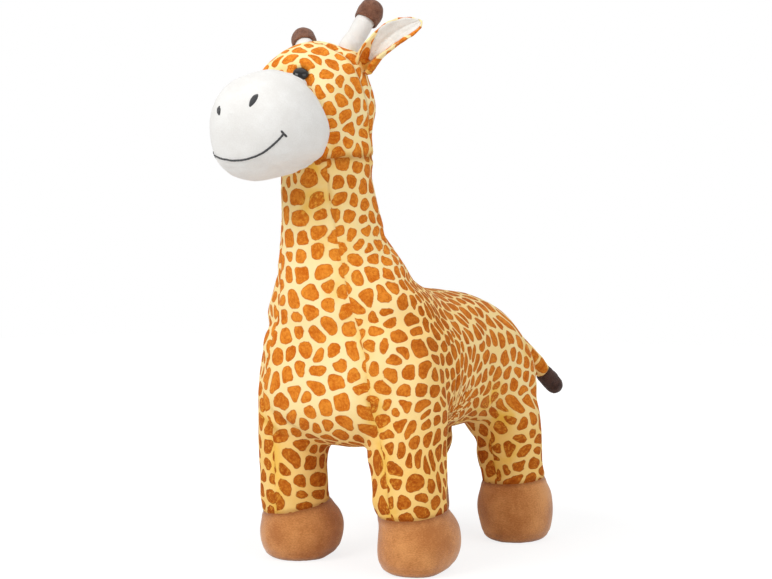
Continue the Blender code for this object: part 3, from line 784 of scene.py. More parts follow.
# Where the cloth is drawn together: back of the shoulder at each height, and the armpit seen from the side
SHOULDER_LINE = (
    (0.110, -0.0360), (0.150, -0.0360), (0.166, -0.0355), (0.175, -0.0400), (0.189, -0.0520), (0.205, -0.0580),
    (0.230, -0.0660),
)
ARMPIT_Y, ARMPIT_Z = -0.0360, 0.1160
FAN_DEPTH = 0.030


def armpit_polar(co):
    """Angle from straight up towards the back, and distance, about the armpit."""
    dy, dz = co[:, 1] - ARMPIT_Y, co[:, 2] - ARMPIT_Z
    return np.arctan2(dy, dz), np.hypot(dy, dz)


def gather(co, nrm, place, keep, side):
    """Draw the cloth together behind the shoulder, and in a fan round the armpit."""
    flank = keep & (co[:, 0] * side > 0.03) & (co[:, 2] > 0.09) & (co[:, 2] < 0.20)
    flank &= (co[:, 1] > -0.06) & (co[:, 1] < 0.06)
    if flank.sum() < 20:
        return place
    # How the flat cloth runs along the flank
    known = np.column_stack([co[flank][:, 1], co[flank][:, 2], np.ones(flank.sum())])
    slope = np.linalg.lstsq(known, place[flank][:, :2], rcond=None)[0]
    back, up = slope[0], slope[1]
    angle, reach = armpit_polar(co)
    plain = np.column_stack([co[:, 1], co[:, 2], np.ones(len(co))]) @ slope
    near = smoothstep(0.065, 0.035, reach) * smoothstep(0.3, 0.6, nrm[:, 0] * side) * keep
    out = place.copy()
    out[:, :2] += (plain - place[:, :2]) * near[:, None]
    behind = co[:, 1] - lerp_table(SHOULDER_LINE, co[:, 2])
    spare = np.linspace(-0.05, 0.12, 400)
    rate = 0.8 * bell(spare - 0.004, 0.014)
    extra = np.cumsum(rate) * (spare[1] - spare[0])
    much = (1 + 0.9 * smoothstep(0.175, 0.205, co[:, 2])) * smoothstep(0.245, 0.220, co[:, 2])
    much *= smoothstep(0.106, 0.132, co[:, 2])
    out[:, :2] += (np.interp(behind, spare, extra) * much * keep)[:, None] * back
    # The fan's cloth is cut as if the armpit lay deeper, so it crowds together there
    angle = np.clip(angle, 0.0, 2.0)
    leg = smoothstep(0.116, 0.108, co[:, 2]) * smoothstep(-0.006, -0.016, co[:, 1])
    nearness = 1 - 0.30 * smoothstep(0.0, 0.040, reach) - 0.35 * smoothstep(0.04, 0.13, reach)
    depth = FAN_DEPTH * (1 - leg) * nearness
    shift_y = depth * np.sin(angle)
    shift_z = depth * (np.cos(angle) - 1)
    # Over the haunch the cloth is drawn tight, so the print is wider there
    shift_y -= 0.08 * np.maximum(co[:, 1] - 0.020, 0.0)
    waist = band(-0.050, -0.015, 0.055, 0.100, co[:, 1])
    shift_z -= 0.24 * (co[:, 2] - 0.150) * waist
    out[:, :2] += (shift_y[:, None] * back + shift_z[:, None] * up) * keep[:, None]
    return out


# Scale of each cut's cloth under the print, which is finer where this is above 1
CLOTH_SCALE = {
    "cloth_gusset": 0.92, "cloth_left": 1.09, "cloth_right": 1.09, "cloth_face": 1.12, "cloth_nape": 1.12,
}


def make_fields(mesh):
    """Store where each point lies on its flat cut of cloth, and how far it is from each seam."""
    co = coords(mesh)
    local = head_local(co)
    gusset, across = neck_fields(co)
    neck_seam = above_neck_seam(co)
    muzzle = MUZZLE_SEAM_Y - local[:, 1]
    to_neck = distance_to("neck", co, 0.05)
    to_muzzle = distance_to("muzzle", co, 0.05)
    # Under the chin the print of the neck reaches a little way up the muzzle
    reach_up = 0.006 * smoothstep(-0.070, -0.050, local[:, 1]) * smoothstep(0.012, 0.028, np.abs(local[:, 0]))
    muzzle = np.where(co[:, 2] > 0.27, np.minimum(muzzle, 0.7 * (to_neck - to_muzzle - reach_up)), -0.1)
    neck_seam = np.where(co[:, 2] > 0.25, neck_seam, -0.1)
    hoof = hoof_field(co)
    back = local[:, 1] - HEAD_SEAM_Y
    body = (neck_seam < MARGIN) & (hoof > -MARGIN) & (muzzle < MARGIN)
    under = (np.abs(local[:, 0]) < 0.008) & (local[:, 2] < -0.01)
    cuts = {
        "cloth_gusset": (gusset < MARGIN) & body,
        "cloth_left": (gusset > -MARGIN) & (across > -MARGIN) & body,
        "cloth_right": (gusset > -MARGIN) & (across < MARGIN) & body,
        "cloth_face": (neck_seam > -MARGIN) & (back < MARGIN) & (muzzle < MARGIN) & ~under,
        "cloth_nape": (neck_seam > -MARGIN) & (back > -MARGIN),
    }
    for number, (name, keep) in enumerate(cuts.items()):
        place = unwrap_part(mesh, keep, "flat_" + name)
        if name in ("cloth_left", "cloth_right"):
            place = gather(co, normals(mesh), place, keep, 1 if name == "cloth_left" else -1)
        place *= CLOTH_SCALE[name]
        place[:, 0] += number * 1.7
        put_attribute(mesh, name, place)
    put_attribute(mesh, "panel_field", np.stack([across, -gusset, neck_seam], axis=1))
    put_attribute(mesh, "head_field", np.stack([np.minimum(neck_seam, back), muzzle, hoof], axis=1))
    for name, field in (("muzzle", muzzle), ("hoof", hoof), ("neck", neck_seam), ("back", back)):
        put_attribute(mesh, "field_" + name, field)
    return {"gusset": gusset, "neck_seam": neck_seam, "muzzle": muzzle, "hoof": hoof}


def groove(distance, depth, width):
    """A sewn line: a sharp dip between two soft shoulders."""
    return depth * (-bell(distance, width) + 0.45 * bell(np.abs(distance) - 2.3 * width, 1.3 * width))


def detail_skin(mesh):
    """Seams, folds and lumps that the growing can't give, then the tints and painted shade that go with them."""
    co = coords(mesh)
    nrm = normals(mesh)
    panel = get_attribute(mesh, "panel_field").astype(float)
    across, gusset, neck_seam = panel[:, 0], -panel[:, 1], panel[:, 2]
    extra = get_attribute(mesh, "head_field").astype(float)
    muzzle, hoof = extra[:, 1], extra[:, 2]
    back = get_attribute(mesh, "field_back").astype(float)
    is_head = smoothstep(-0.002, 0.002, neck_seam)
    is_body = (1 - is_head) * smoothstep(-0.002, 0.002, hoof) * smoothstep(0.002, -0.002, muzzle)
    pucker = noise_field(co, 0.010, 3) * 0.5 + noise_field(co, 0.006, 4) * 0.5
    lumps = noise_field(co, 0.045, 5) * 0.00045 + noise_field(co, 0.022, 6) * 0.00016
    rise = lumps * (0.35 + 0.65 * smoothstep(-0.002, 0.010, hoof)) * (1 - 0.6 * smoothstep(-0.002, 0.006, muzzle))
    rise += groove(gusset, 0.00020, 0.0013) * is_body * (1 + 0.8 * pucker)
    rise += 0.00030 * pucker * bell(gusset, 0.006) * is_body
    spine = np.where(gusset > 0.002, across, 1.0)
    rise += groove(spine, 0.0008, 0.0019) * is_body
    rise += groove(neck_seam, 0.0005, 0.0020) * (muzzle < 0)
    rise += 0.0004 * pucker * bell(neck_seam, 0.007)
    rise += groove(back, 0.0008, 0.0019) * is_head
    rise += groove(muzzle, 0.0008, 0.0020)
    for side in (1, -1):
        at = eye_frame(side)
        off = co - np.array(at.translation)
        outward = np.array(at.to_3x3())[:, 2]
        height = off @ outward
        apart = np.linalg.norm(off - height[:, None] * outward, axis=1)
        near_eye = np.exp(-((apart / 0.0066) ** 6)) * (np.abs(height) < 0.012)
        rise = rise * (1 - near_eye) + near_eye * np.minimum(-height - 0.0012, 0.0)
        lid = off @ np.array(HEAD_TURN @ Vector((-0.3 * side, 0.6, 0.75)))
        brow = 0.0005 + 0.0011 * smoothstep(0.0, 0.006, lid)
        rise += brow * bell(apart - 0.0078, 0.0020) * (np.abs(height) < 0.012)
    rise += 0.0003 * pucker * bell(muzzle, 0.006)
    rise += groove(hoof, 0.00055, 0.0016) + 0.00012 * pucker * bell(hoof, 0.005)
    sole = co[:, 2] - SOLE_SEAM
    rise += groove(sole, 0.00022, 0.0012) * (hoof < 0)
    folds, valley = fan_folds(co)
    rise += folds * is_body
    co = co + nrm * rise[:, None]
    co[:, 2] = np.maximum(co[:, 2], 0.0)
    put_coords(mesh, co)
    pressed = folds_on(mesh)
    co = coords(mesh)
    put_attribute(mesh, "rest_place", co)
    # A golden ground near the seams, the spine and the golden patches, partly the pile's own tone, partly painted
    # warm shade; on the lower legs it is painted shade
    plain = smoothstep(0.125, 0.145, co[:, 2]) * (across < 0) * (co[:, 1] < 0)
    gold = bell(gusset, 0.010) * is_body * (0.8 - 0.6 * plain)
    gold = gold * (1 - 0.45 * smoothstep(0.13, 0.16, co[:, 2]))
    gold = np.maximum(gold, bell(neck_seam, 0.010) * 0.7)
    gold = np.maximum(gold, bell(spine, 0.008) * is_body * 0.6)
    tree = tree_of(mesh)
    for x, y, reach, strength in GOLD_PATCHES:
        for hit in seen(tree, [(x, y)]):
            apart = np.linalg.norm(co - hit, axis=1)
            gold = np.maximum(gold, strength * bell(apart, reach))
    legs = smoothstep(0.140, 0.080, co[:, 2])
    put_attribute(mesh, "gold", np.maximum(gold, 0.30 * legs * is_body))
    # Painted shade: the lower legs, the body behind the chest, the neck and the shoulder take part of the darker
    # copy of each tone
    low = 0.80 * legs
    far_back = 0.46 * smoothstep(-0.125, -0.050, co[:, 1]) * smoothstep(0.250, 0.215, co[:, 2])
    far_back *= 1 - 0.5 * smoothstep(0.02, 0.09, co[:, 1])
    far_back += 0.32 * bell(co[:, 1] + 0.058, 0.026) * smoothstep(0.240, 0.200, co[:, 2])
    far_back += 0.30 * smoothstep(0.240, 0.300, co[:, 2]) * (1 - is_head)
    shoulder = bell(co[:, 1] + 0.088, 0.024) * smoothstep(0.230, 0.190, co[:, 2])
    far_back += 0.24 * shoulder * smoothstep(0.030, 0.055, co[:, 0])
    put_attribute(mesh, "deep", 1.0 - (1.0 - low) * (1.0 - far_back))
    angle, reach = armpit_polar(co)
    furthest = 0.024 + 0.012 * bell(angle - 0.95, 0.5)
    pleats = smoothstep(0.008, -0.006, reach - furthest) * smoothstep(-0.20, 0.0, angle)
    pleats *= smoothstep(1.75, 1.45, angle) * is_body * smoothstep(0.045, 0.058, np.abs(co[:, 0] - SHIFT_X * 0.3))
    put_attribute(mesh, "fan", np.stack([co[:, 1] - ARMPIT_Y, co[:, 2] - ARMPIT_Z, pleats], axis=1))
    behind = co[:, 1] - lerp_table(SHOULDER_LINE, co[:, 2])
    tight = np.maximum(bell(behind - 0.006, 0.018), 0.6 * smoothstep(0.06, 0.03, np.abs(behind - 0.04)))
    put_attribute(mesh, "tight", tight * (gusset > 0) * (co[:, 2] > 0.11) * is_body * (1 - pleats))
    # Painted shade: how much the colour darkens in seams, folds, pleat valleys and pressed folds
    creases = (
        bell(neck_seam, 0.0030) * 0.8,
        bell(hoof, 0.0025) * 0.8,
        bell(gusset, 0.0008) * (0.25 + 0.25 * np.clip(pucker, -1, 1)) * is_body,
        bell(back, 0.0009) * 0.7 * is_head,
        bell(muzzle, 0.0016) * 0.35,
        bell(sole, 0.0006) * 0.25 * (hoof < 0),
        0.6 * valley * is_body,
        0.5 * pressed,
    )
    put_attribute(mesh, "crease", np.max(creases, axis=0))


# Places in the photograph where the ground turns golden: pixel, reach in metres, strength
GOLD_PATCHES = (
    (490, 398, 0.020, 1.0), (503, 418, 0.018, 1.0), (510, 455, 0.016, 0.9), (383, 430, 0.011, 0.9),
    (386, 470, 0.010, 0.8), (387, 500, 0.009, 0.7), (374, 402, 0.011, 0.9), (314, 172, 0.015, 1.0),
    (316, 205, 0.018, 1.0), (326, 242, 0.010, 0.9), (336, 290, 0.010, 0.7), (264, 418, 0.010, 0.8),
    (274, 455, 0.009, 0.8), (276, 486, 0.009, 0.7), (361, 63, 0.008, 0.9), (368, 128, 0.009, 0.8),
    (332, 150, 0.009, 0.7), (293, 66, 0.006, 0.6), (505, 345, 0.012, 0.5), (528, 350, 0.012, 0.8),
)


# Folds that the photograph shows: path in it, depth, width
FOLDS = (
    (((262, 418), (276, 432), (300, 443)), 0.0017, 0.0026),
    (((268, 408), (286, 422), (312, 436)), 0.0009, 0.0022),
    (((366, 398), (372, 406), (380, 409)), 0.0011, 0.0018),
)


def folds_on(mesh):
    """Press the folds that the photograph shows into the skin. Gives how deep in one each point lies."""
    tree = tree_of(mesh)
    co = coords(mesh)
    nrm = normals(mesh)
    shade = np.zeros(len(co))
    for path, depth, width in FOLDS:
        pixels = [
            (x0 + (x1 - x0) * share, y0 + (y1 - y0) * share)
            for (x0, y0), (x1, y1) in zip(path[:-1], path[1:]) for share in (0.0, 0.33, 0.67)
        ]
        points = seen(tree, pixels)
        if len(points) > 1:
            co = fold(co, nrm, points, depth, width, shade)
    put_coords(mesh, co)
    return shade


def cut_skin(skin):
    """Cut the skin along its seams into covers with their own cloth."""
    panels = (
        ("cloth_right",), ("cloth_left", "panel_field", 0), ("cloth_gusset", "panel_field", 1),
        ("cloth_face", "panel_field", 2), ("cloth_nape", "head_field", 0),
    )
    printed = print_material("printed_velour", panels)
    white = white_velour("white_velour")
    brown = hoof_velour("hoof_velour")
    rest, feet = split_by(skin.data, "field_hoof", "rest", "feet")
    muzzle, rest = split_by(rest, "field_muzzle", "muzzle_cover", "printed")
    head, body = split_by(rest, "field_neck", "head_cover", "body_cover")
    rows = [
        (body, printed, "printed_plush", [n for n in PRINTED if n != "head"], 0.9),
        (head, printed, "printed_plush", ["head"], 0.9),
        (muzzle, white, "white_plush", ["muzzle"], 0.95),
    ]
    for place, (x, y, *_) in HOOVES.items():
        work = opened(feet)
        drop = [v for v in work.verts if math.hypot(v.co.x - x, v.co.y - y) > 0.052]
        bmesh.ops.delete(work, geom=drop, context="VERTS")
        mesh = closed(work, bpy.data.meshes.new("hoof_cover_" + place))
        rows.append((mesh, brown, "hoof_plush", ["hoof_" + place, "hoof_sole_" + place], 0.9))
    covers = {row[0].name: finish_piece(*row[:4], fill=row[4]) for row in rows}
    bpy.data.objects.remove(skin)
    return covers


def seen_rays(tree):
    """1 for rays from the camera, straight or by way of gloss or glass."""
    path = tree.nodes.new("ShaderNodeLightPath")
    total = path.outputs["Is Camera Ray"]
    for name in ("Is Glossy Ray", "Is Transmission Ray"):
        add = tree.nodes.new("ShaderNodeMath")
        add.operation = "MAXIMUM"
        tree.links.new(total, add.inputs[0])
        tree.links.new(path.outputs[name], add.inputs[1])
        total = add.outputs[0]
    return total


def make_stage():
    """White surroundings, a pale floor and three lamps."""
    world = bpy.data.worlds.new("studio")
    SCENE.world = world
    world.use_nodes = True
    tree = world.node_tree
    background = tree.nodes["Background"]
    background.inputs[0].default_value = (1.0, 1.0, 1.0, 1.0)
    background.inputs[1].default_value = 0.51
    white = tree.nodes.new("ShaderNodeBackground")
    white.inputs[0].default_value = (1.0, 1.0, 1.0, 1.0)
    white.inputs[1].default_value = 1.0
    mix = tree.nodes.new("ShaderNodeMixShader")
    tree.links.new(seen_rays(tree), mix.inputs[0])
    tree.links.new(background.outputs[0], mix.inputs[1])
    tree.links.new(white.outputs[0], mix.inputs[2])
    tree.links.new(mix.outputs[0], tree.nodes["World Output"].inputs[0])

    floor_mesh = bpy.data.meshes.new("floor")
    size = 4.0
    corners = [(-size, -size, 0), (size, -size, 0), (size, size, 0), (-size, size, 0)]
    floor_mesh.from_pydata(corners, [], [(0, 1, 2, 3)])
    floor = new_object("floor", floor_mesh)
    material = bpy.data.materials.new("pale_floor")
    material.use_nodes = True
    nodes, links = material.node_tree.nodes, material.node_tree.links
    shader = nodes["Principled BSDF"]
    shader.inputs["Base Color"].default_value = (0.82, 0.82, 0.82, 1.0)
    shader.inputs["Roughness"].default_value = 0.8
    # What the eye sees: white, with a soft shadow close to the object
    soft = nodes.new("ShaderNodeBsdfDiffuse")
    soft.inputs[0].default_value = (0.24, 0.24, 0.24, 1.0)
    glow = nodes.new("ShaderNodeEmission")
    place = nodes.new("ShaderNodeNewGeometry")
    far = nodes.new("ShaderNodeVectorMath")
    far.operation = "LENGTH"
    links.new(place.outputs["Position"], far.inputs[0])
    fade = nodes.new("ShaderNodeMapRange")
    fade.inputs["From Min"].default_value = 0.25
    fade.inputs["From Max"].default_value = 0.55
    fade.inputs["To Min"].default_value = 0.82
    fade.inputs["To Max"].default_value = 1.0
    links.new(far.outputs["Value"], fade.inputs["Value"])
    links.new(fade.outputs[0], glow.inputs["Strength"])
    both = nodes.new("ShaderNodeAddShader")
    links.new(soft.outputs[0], both.inputs[0])
    links.new(glow.outputs[0], both.inputs[1])
    choose = nodes.new("ShaderNodeMixShader")
    links.new(seen_rays(material.node_tree), choose.inputs[0])
    links.new(shader.outputs[0], choose.inputs[1])
    links.new(both.outputs[0], choose.inputs[2])
    links.new(choose.outputs[0], nodes["Material Output"].inputs[0])
    floor_mesh.materials.append(material)

    middle = Vector((0.0, 0.0, 0.22))
    for name, place, energy, size in (
        ("key", middle - VIEW_AHEAD * 1.0 - VIEW_RIGHT * 1.0 + Vector((0, 0, 1.0)), 15.0, 0.9),
        ("fill", middle - VIEW_AHEAD * 0.9 + VIEW_RIGHT * 0.8 + Vector((0, 0, 0.75)), 4.6, 0.9),
        ("above", middle + Vector((0, 0, 1.3)), 1.8, 1.0),
    ):
        data = bpy.data.lights.new(name, "AREA")
        data.energy, data.size = energy, size
        lamp = new_object(name, data)
        lamp.location = place
        lamp.rotation_mode = "QUATERNION"
        lamp.rotation_quaternion = (middle - place).to_track_quat("-Z", "Y")


def make_camera():
    """The camera of the photograph."""
    data = bpy.data.cameras.new("camera")
    data.sensor_width = 36.0
    data.sensor_fit = "HORIZONTAL"
    data.lens = FOCAL_PIXELS / FRAME_WIDTH * 36.0
    data.clip_start, data.clip_end = 0.05, 30.0
    cam = new_object("camera", data)
    cam.location = CAMERA
    cam.rotation_mode = "QUATERNION"
    cam.rotation_quaternion = VIEW_AHEAD.to_track_quat("-Z", "Y")
    SCENE.camera = cam
    SCENE.view_settings.view_transform = "Standard"


def tube_faces(rows, around):
    """Faces over rings of points, with both ends closed."""
    faces = []
    for i in range(rows - 1):
        for k in range(around):
            a, b = i * around + k, i * around + (k + 1) % around
            faces.append((a, b, b + around, a + around))
    faces.append(tuple(reversed(range(around))))
    faces.append(tuple(range((rows - 1) * around, rows * around)))
    return faces


def shell(name, co, faces, cloth):
    """A mesh that stores where its points rest, and where they lie on its cloth."""
    mesh = bpy.data.meshes.new(name)
    mesh.from_pydata(np.asarray(co).tolist(), [], faces)
    mesh.update()
    put_attribute(mesh, "cloth_own", cloth)
    put_attribute(mesh, "rest_place", co)
    return mesh


def lathe(name, frame_at, profile, segments, wobble=0.0, seed=1, bend=None):
    """A round form about its own Z from (height, radius) rows, with cloth places stored."""
    heights, radii = np.array(profile).T
    rows = len(profile)
    angle = np.linspace(0, 2 * math.pi, segments, endpoint=False)
    ring_x = radii[:, None] * np.cos(angle)
    ring_y = radii[:, None] * np.sin(angle)
    ring_z = np.repeat(heights[:, None], segments, axis=1)
    local = np.stack([ring_x, ring_y, ring_z], axis=2).reshape(-1, 3)
    if bend is not None:
        local = bend(local)
    turn = np.array(frame_at.to_3x3())
    co = local @ turn.T + np.array(frame_at.translation)
    if wobble:
        centre = (np.array([0.0, 0.0, 1.0]) * local[:, 2:3]) @ turn.T + np.array(frame_at.translation)
        out = co - centre
        length = np.linalg.norm(out, axis=1, keepdims=True)
        out = np.where(length > 1e-6, out / np.maximum(length, 1e-6), 0)
        swell = noise_field(co, 0.012, seed) * wobble + noise_field(co, 0.005, seed + 1) * wobble * 0.35
        co = co + out * swell[:, None]
    around = np.minimum(angle, 2 * math.pi - angle)
    middle = max(radii) * 0.9
    cloth = [np.tile(around * middle, rows), np.repeat(heights, segments), np.zeros(rows * segments)]
    cloth = np.stack(cloth, axis=1) + np.array([seed * 0.37, 0.0, 0.0])
    return shell(name, co, tube_faces(rows, segments), cloth)


def spline(rows, count):
    """Smooth curve through a table's rows."""
    rows = np.asarray(rows, float)
    padded = np.vstack([2 * rows[0] - rows[1], rows, 2 * rows[-1] - rows[-2]])
    out = []
    for t in np.linspace(0, len(rows) - 1, count):
        i = min(int(t), len(rows) - 2)
        f = t - i
        p0, p1, p2, p3 = padded[i:i + 4]
        square = (2 * p0 - 5 * p1 + 4 * p2 - p3) * f ** 2
        cube = (3 * p1 - p0 - 3 * p2 + p3) * f ** 3
        out.append(0.5 * (2 * p1 + (p2 - p0) * f + square + cube))
    return np.array(out)


def round_profile(length, radius, shares, base, count):
    """A profile of (height, radius) rows from shares of its length and radius."""
    curve = spline([(base + length * a, radius * b) for a, b in shares], count)
    curve[:, 1] = np.maximum(curve[:, 1], 0.0002)
    return curve


def frame_of(origin, z_axis, y_axis):
    """A frame from its origin, its Z axis and roughly its Y axis."""
    z = Vector(z_axis).normalized()
    y = Vector(y_axis)
    y = (y - z * y.dot(z)).normalized()
    turn = Matrix((y.cross(z), y, z)).transposed().to_4x4()
    return Matrix.Translation(Vector(origin)) @ turn


def head_frame(local_origin, local_direction):
    origin = HEAD_AT + HEAD_TURN @ Vector(local_origin)
    direction = (HEAD_TURN @ Vector(local_direction)).normalized()
    return frame_of(origin, direction, direction.orthogonal())


def finish_piece(mesh, material, slot, nodes=(), body=BODY, fill=None):
    """Make a piece of a mesh, with the nodes that it stands for and the body that it rides on. Its filling is not
    used.
    """
    mesh.materials.clear()
    mesh.materials.append(material)
    mesh.shade_smooth()
    piece = new_object(mesh.name, mesh)
    if nodes:
        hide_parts(*nodes)
    if body is not None:
        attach(piece, body)
    return piece


HEAD_SIZE = (0.086, 0.044, 0.0915)
HEAD_FRONT = 0.038
# Profiles of (height, radius) rows along a horn
HORN_STEM = (
    (-0.0090, 0.0074), (-0.003, 0.0083), (0.000, 0.0085), (0.004, 0.0082), (0.010, 0.0079), (0.018, 0.0078),
    (0.026, 0.0079), (0.031, 0.0077), (0.036, 0.0055),
)
HORN_CAP = (
    (0.0284, 0.0074), (0.0272, 0.0084), (0.0268, 0.0092), (0.0277, 0.0099), (0.0300, 0.01020), (0.0345, 0.0104),
    (0.0390, 0.0099), (0.0425, 0.0083), (0.0445, 0.0060), (0.0455, 0.0030), (0.0457, 0.0004),
)


def make_horns(white, brown):
    cap = spline(HORN_CAP, 64)
    cap[:, 1] = np.maximum(cap[:, 1], 0.0003)
    for side, name in ((1, "left"), (-1, "right")):
        base = (side * HEAD_SIZE[0] * 0.256, HEAD_SIZE[1] * 0.864, HEAD_SIZE[2] * 0.317)
        at = head_frame(base, (side * 0.40, 0.74, 0.54))
        mesh = lathe("horn_stem_cover_" + name, at, spline(HORN_STEM, 60), 56, 0.00025, 11 + side)
        finish_piece(mesh, white, "white_plush", ["horn_stem_" + name], fill=0.9)
        mesh = lathe("horn_cap_cover_" + name, at, cap, 56, 0.0003, 21 + side)
        finish_piece(mesh, brown, "horn_tip_plush", ["horn_tip_" + name], fill=0.9)


# An eye's flat back as (height, radius) rows, and its dome's base, radius and height
EYE_BACK = (
    (-0.0130, 0.0004), (-0.0130, 0.0020), (-0.0004, 0.0020), (-0.0004, 0.0056), (0.0, 0.0060), (0.0004, 0.0060),
)
EYE_BASE, EYE_RADIUS, EYE_DOME = 0.0004, 0.0060, 0.0032


def eye_frame(side):
    """Where an eye sits, with its Z axis outwards."""
    seat = Vector((side * HEAD_SIZE[0] * 0.287, -HEAD_FRONT * 0.950, HEAD_SIZE[2] * 0.287))
    outward = Vector((seat.x, 0, seat.z)).normalized()
    lean = math.radians(18.0)
    outward = outward * math.cos(lean) - Vector((0, 1, 0)) * math.sin(lean)
    return head_frame(seat - outward * 0.0010, outward)


def make_eyes(black, washer):
    rows = list(EYE_BACK)
    for step in range(1, 25):
        a = math.pi / 2 * step / 24
        rows.append((EYE_BASE + EYE_DOME * math.sin(a), max(EYE_RADIUS * math.cos(a), 0.00005)))
    for side, name in ((1, "left"), (-1, "right")):
        mesh = lathe("eye_button_" + name, eye_frame(side), rows, 64)
        finish_piece(mesh, black, "eye_plastic", ["eye_" + name])
        node = NODES["eye_washer_" + name]
        node.data.materials.clear()
        node.data.materials.append(washer)


# Length of an ear, and where each one stands: origin, Z axis along it, Y axis, side
EAR_LENGTH = 0.0553
EAR_FRAMES = {
    "left": ((0.034466, -0.076047, 0.393488), (0.74067, 0.15804, 0.65302), (-0.3148, 0.94028, 0.12949), 1),
    "right": ((-0.051085, -0.069235, 0.376628), (-0.84341, 0.50064, -0.19496), (0.35847, 0.79467, 0.4899), -1),
}
# Length share, half width of the cloth, half angles of the cup above and below in degrees, half thickness
EAR_ROWS = (
    (-0.06, 0.0085, 125.0, 140.0, 0.0020),
    (0.00, 0.0112, 125.0, 145.0, 0.0024),
    (0.10, 0.0128, 122.0, 145.0, 0.0024),
    (0.25, 0.0138, 104.0, 128.0, 0.0022),
    (0.45, 0.0140, 74.0, 104.0, 0.0020),
    (0.65, 0.0134, 54.0, 88.0, 0.0019),
    (0.82, 0.0108, 46.0, 70.0, 0.0018),
    (0.93, 0.0068, 38.0, 52.0, 0.0016),
    (0.985, 0.0032, 30.0, 35.0, 0.0012),
    (1.01, 0.0008, 25.0, 25.0, 0.0006),
)


def ear_point(row, share, lift, side):
    """A point of the cupped ear. Share goes across its cloth, lift is off its middle layer."""
    length, half, above, below, _ = row
    if share * side < 0:
        half = half * float(np.interp(length, [0.0, 0.12, 0.35, 0.60, 1.0], [1.50, 1.42, 1.0, 0.92, 0.86]))
    phi = math.radians(below if share * side > 0 else above)
    radius = half / phi
    a = share * phi
    x = (radius + lift) * math.sin(a)
    y = (radius + lift) * math.cos(a) - radius
    bow = side * (0.0045 * math.sin(math.pi * max(length, 0.0)) - 0.0036 * max(length, 0.0) ** 2)
    return (x - bow, y, EAR_LENGTH * length)


def ear_mesh(name, rows, loop, side, at, seed):
    """Loft closed loops of (share, lift share) pairs along the ear."""
    co, cloth = [], []
    for row in rows:
        for share, lift in loop(row):
            co.append(ear_point(row, share, lift, side))
            cloth.append((share * row[1], EAR_LENGTH * row[0], 0.0))
    world = np.array(co) @ np.array(at.to_3x3()).T + np.array(at.translation)
    faces = tube_faces(len(rows), len(loop(rows[0])))
    mesh = shell(name, world, faces, np.array(cloth) + np.array([seed * 0.31, 0, 0]))
    bump = noise_field(world, 0.012, seed) * 0.00030 + noise_field(world, 0.006, seed + 1) * 0.00012
    put_coords(mesh, world + normals(mesh) * bump[:, None])
    return mesh


def make_ears(printed, white):
    rows = spline(EAR_ROWS, 60)
    shares = np.linspace(-1, 1, 29)
    pad = np.sqrt(np.clip(1 - np.abs(shares) ** 4, 0, 1))
    for name, (origin, z_axis, y_axis, side) in EAR_FRAMES.items():
        at = frame_of(origin, z_axis, y_axis)

        def outer_loop(row):
            half = row[4]
            back = [(s, half * (0.25 + 0.75 * p)) for s, p in zip(shares, pad)]
            front = [(s, -half * (0.25 * p + 0.20)) for s, p in zip(shares[::-1], pad[::-1])]
            return back + front

        def lining_loop(row):
            half = row[4]
            upper = np.interp(row[0], [0.10, 0.24, 0.50], [0.16, 0.42, 0.965])
            lower = np.interp(row[0], [0.10, 0.30, 0.55, 0.92], [0.02, 0.38, 0.62, 0.76])
            low, high = (-upper, lower) if side > 0 else (-lower, upper)
            inner = (low + high) / 2 + shares * (high - low) / 2
            crease = 0.0008 * bell(inner * side + 0.10, 0.10)
            crease = (crease + 0.0005 * bell(inner * side - 0.35, 0.08)) * half / 0.0024
            under = [(s, -half * 0.15) for s in inner]
            over = [(s, -half * (0.35 + 0.75 * p) + c) for s, p, c in zip(inner[::-1], pad[::-1], crease[::-1])]
            return under + over

        mesh = ear_mesh("ear_cover_" + name, rows, outer_loop, side, at, 31 + side)
        # Near the root: a golden ground that is partly painted warm shade, and painted shade where the ear meets
        # the head
        gold = np.clip(1.0 - np.abs(get_attribute(mesh, "cloth_own")[:, 1]) / 0.016, 0, 1)
        put_attribute(mesh, "gold", gold * 0.9)
        put_attribute(mesh, "crease", gold * 0.25)
        put_attribute(mesh, "deep", gold * 0.3)
        cover = finish_piece(mesh, printed, "printed_plush", ["ear_outer_" + name], body=None, fill=0.4)
        start = at.translation
        end = start + at.to_3x3() @ Vector((0, 0, 0.007))
        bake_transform(cover, BODY, "ear_" + name, start=tuple(start), end=tuple(end))
        lining_rows = spline([r for r in EAR_ROWS if 0.05 < r[0] < 0.99], 50)
        mesh = ear_mesh("ear_lining_cover_" + name, lining_rows, lining_loop, side, at, 41 + side)
        finish_piece(mesh, white, "white_plush", ["ear_lining_" + name], body="ear_" + name, fill=0.3)


TAIL_LENGTH = 0.083
# Profiles of the tail and of its tip: share of the length, share of the radius
TAIL_SHARES = (
    (-0.105, 0.50), (-0.06, 1.0), (0.02, 1.20), (0.30, 1.12), (0.65, 0.98), (0.95, 0.84), (0.99, 0.70),
    (1.02, 0.50),
)
TIP_SHARES = (
    (-0.02, 0.70), (0.00, 0.90), (0.06, 1.00), (0.30, 1.04), (0.62, 1.00), (0.85, 0.80), (0.96, 0.45),
    (1.00, 0.05),
)


def tail_bow(local):
    """Bend the straight tail: its root in under the cover of the rump, the rest in a slow bow."""
    share = np.clip(local[:, 2] / TAIL_LENGTH, 0.0, 1.3)
    local = local.copy()
    lift = np.sin(np.minimum(share * 1.9, math.pi / 2 + 0.35 * share))
    local[:, 1] -= 0.0052 * lift * (1 - 0.30 * smoothstep(0.75, 1.30, share))
    local[:, 2] += 0.0014 * share
    local[:, 1] += 0.0150 * smoothstep(0.022, -0.009, local[:, 2])
    return local


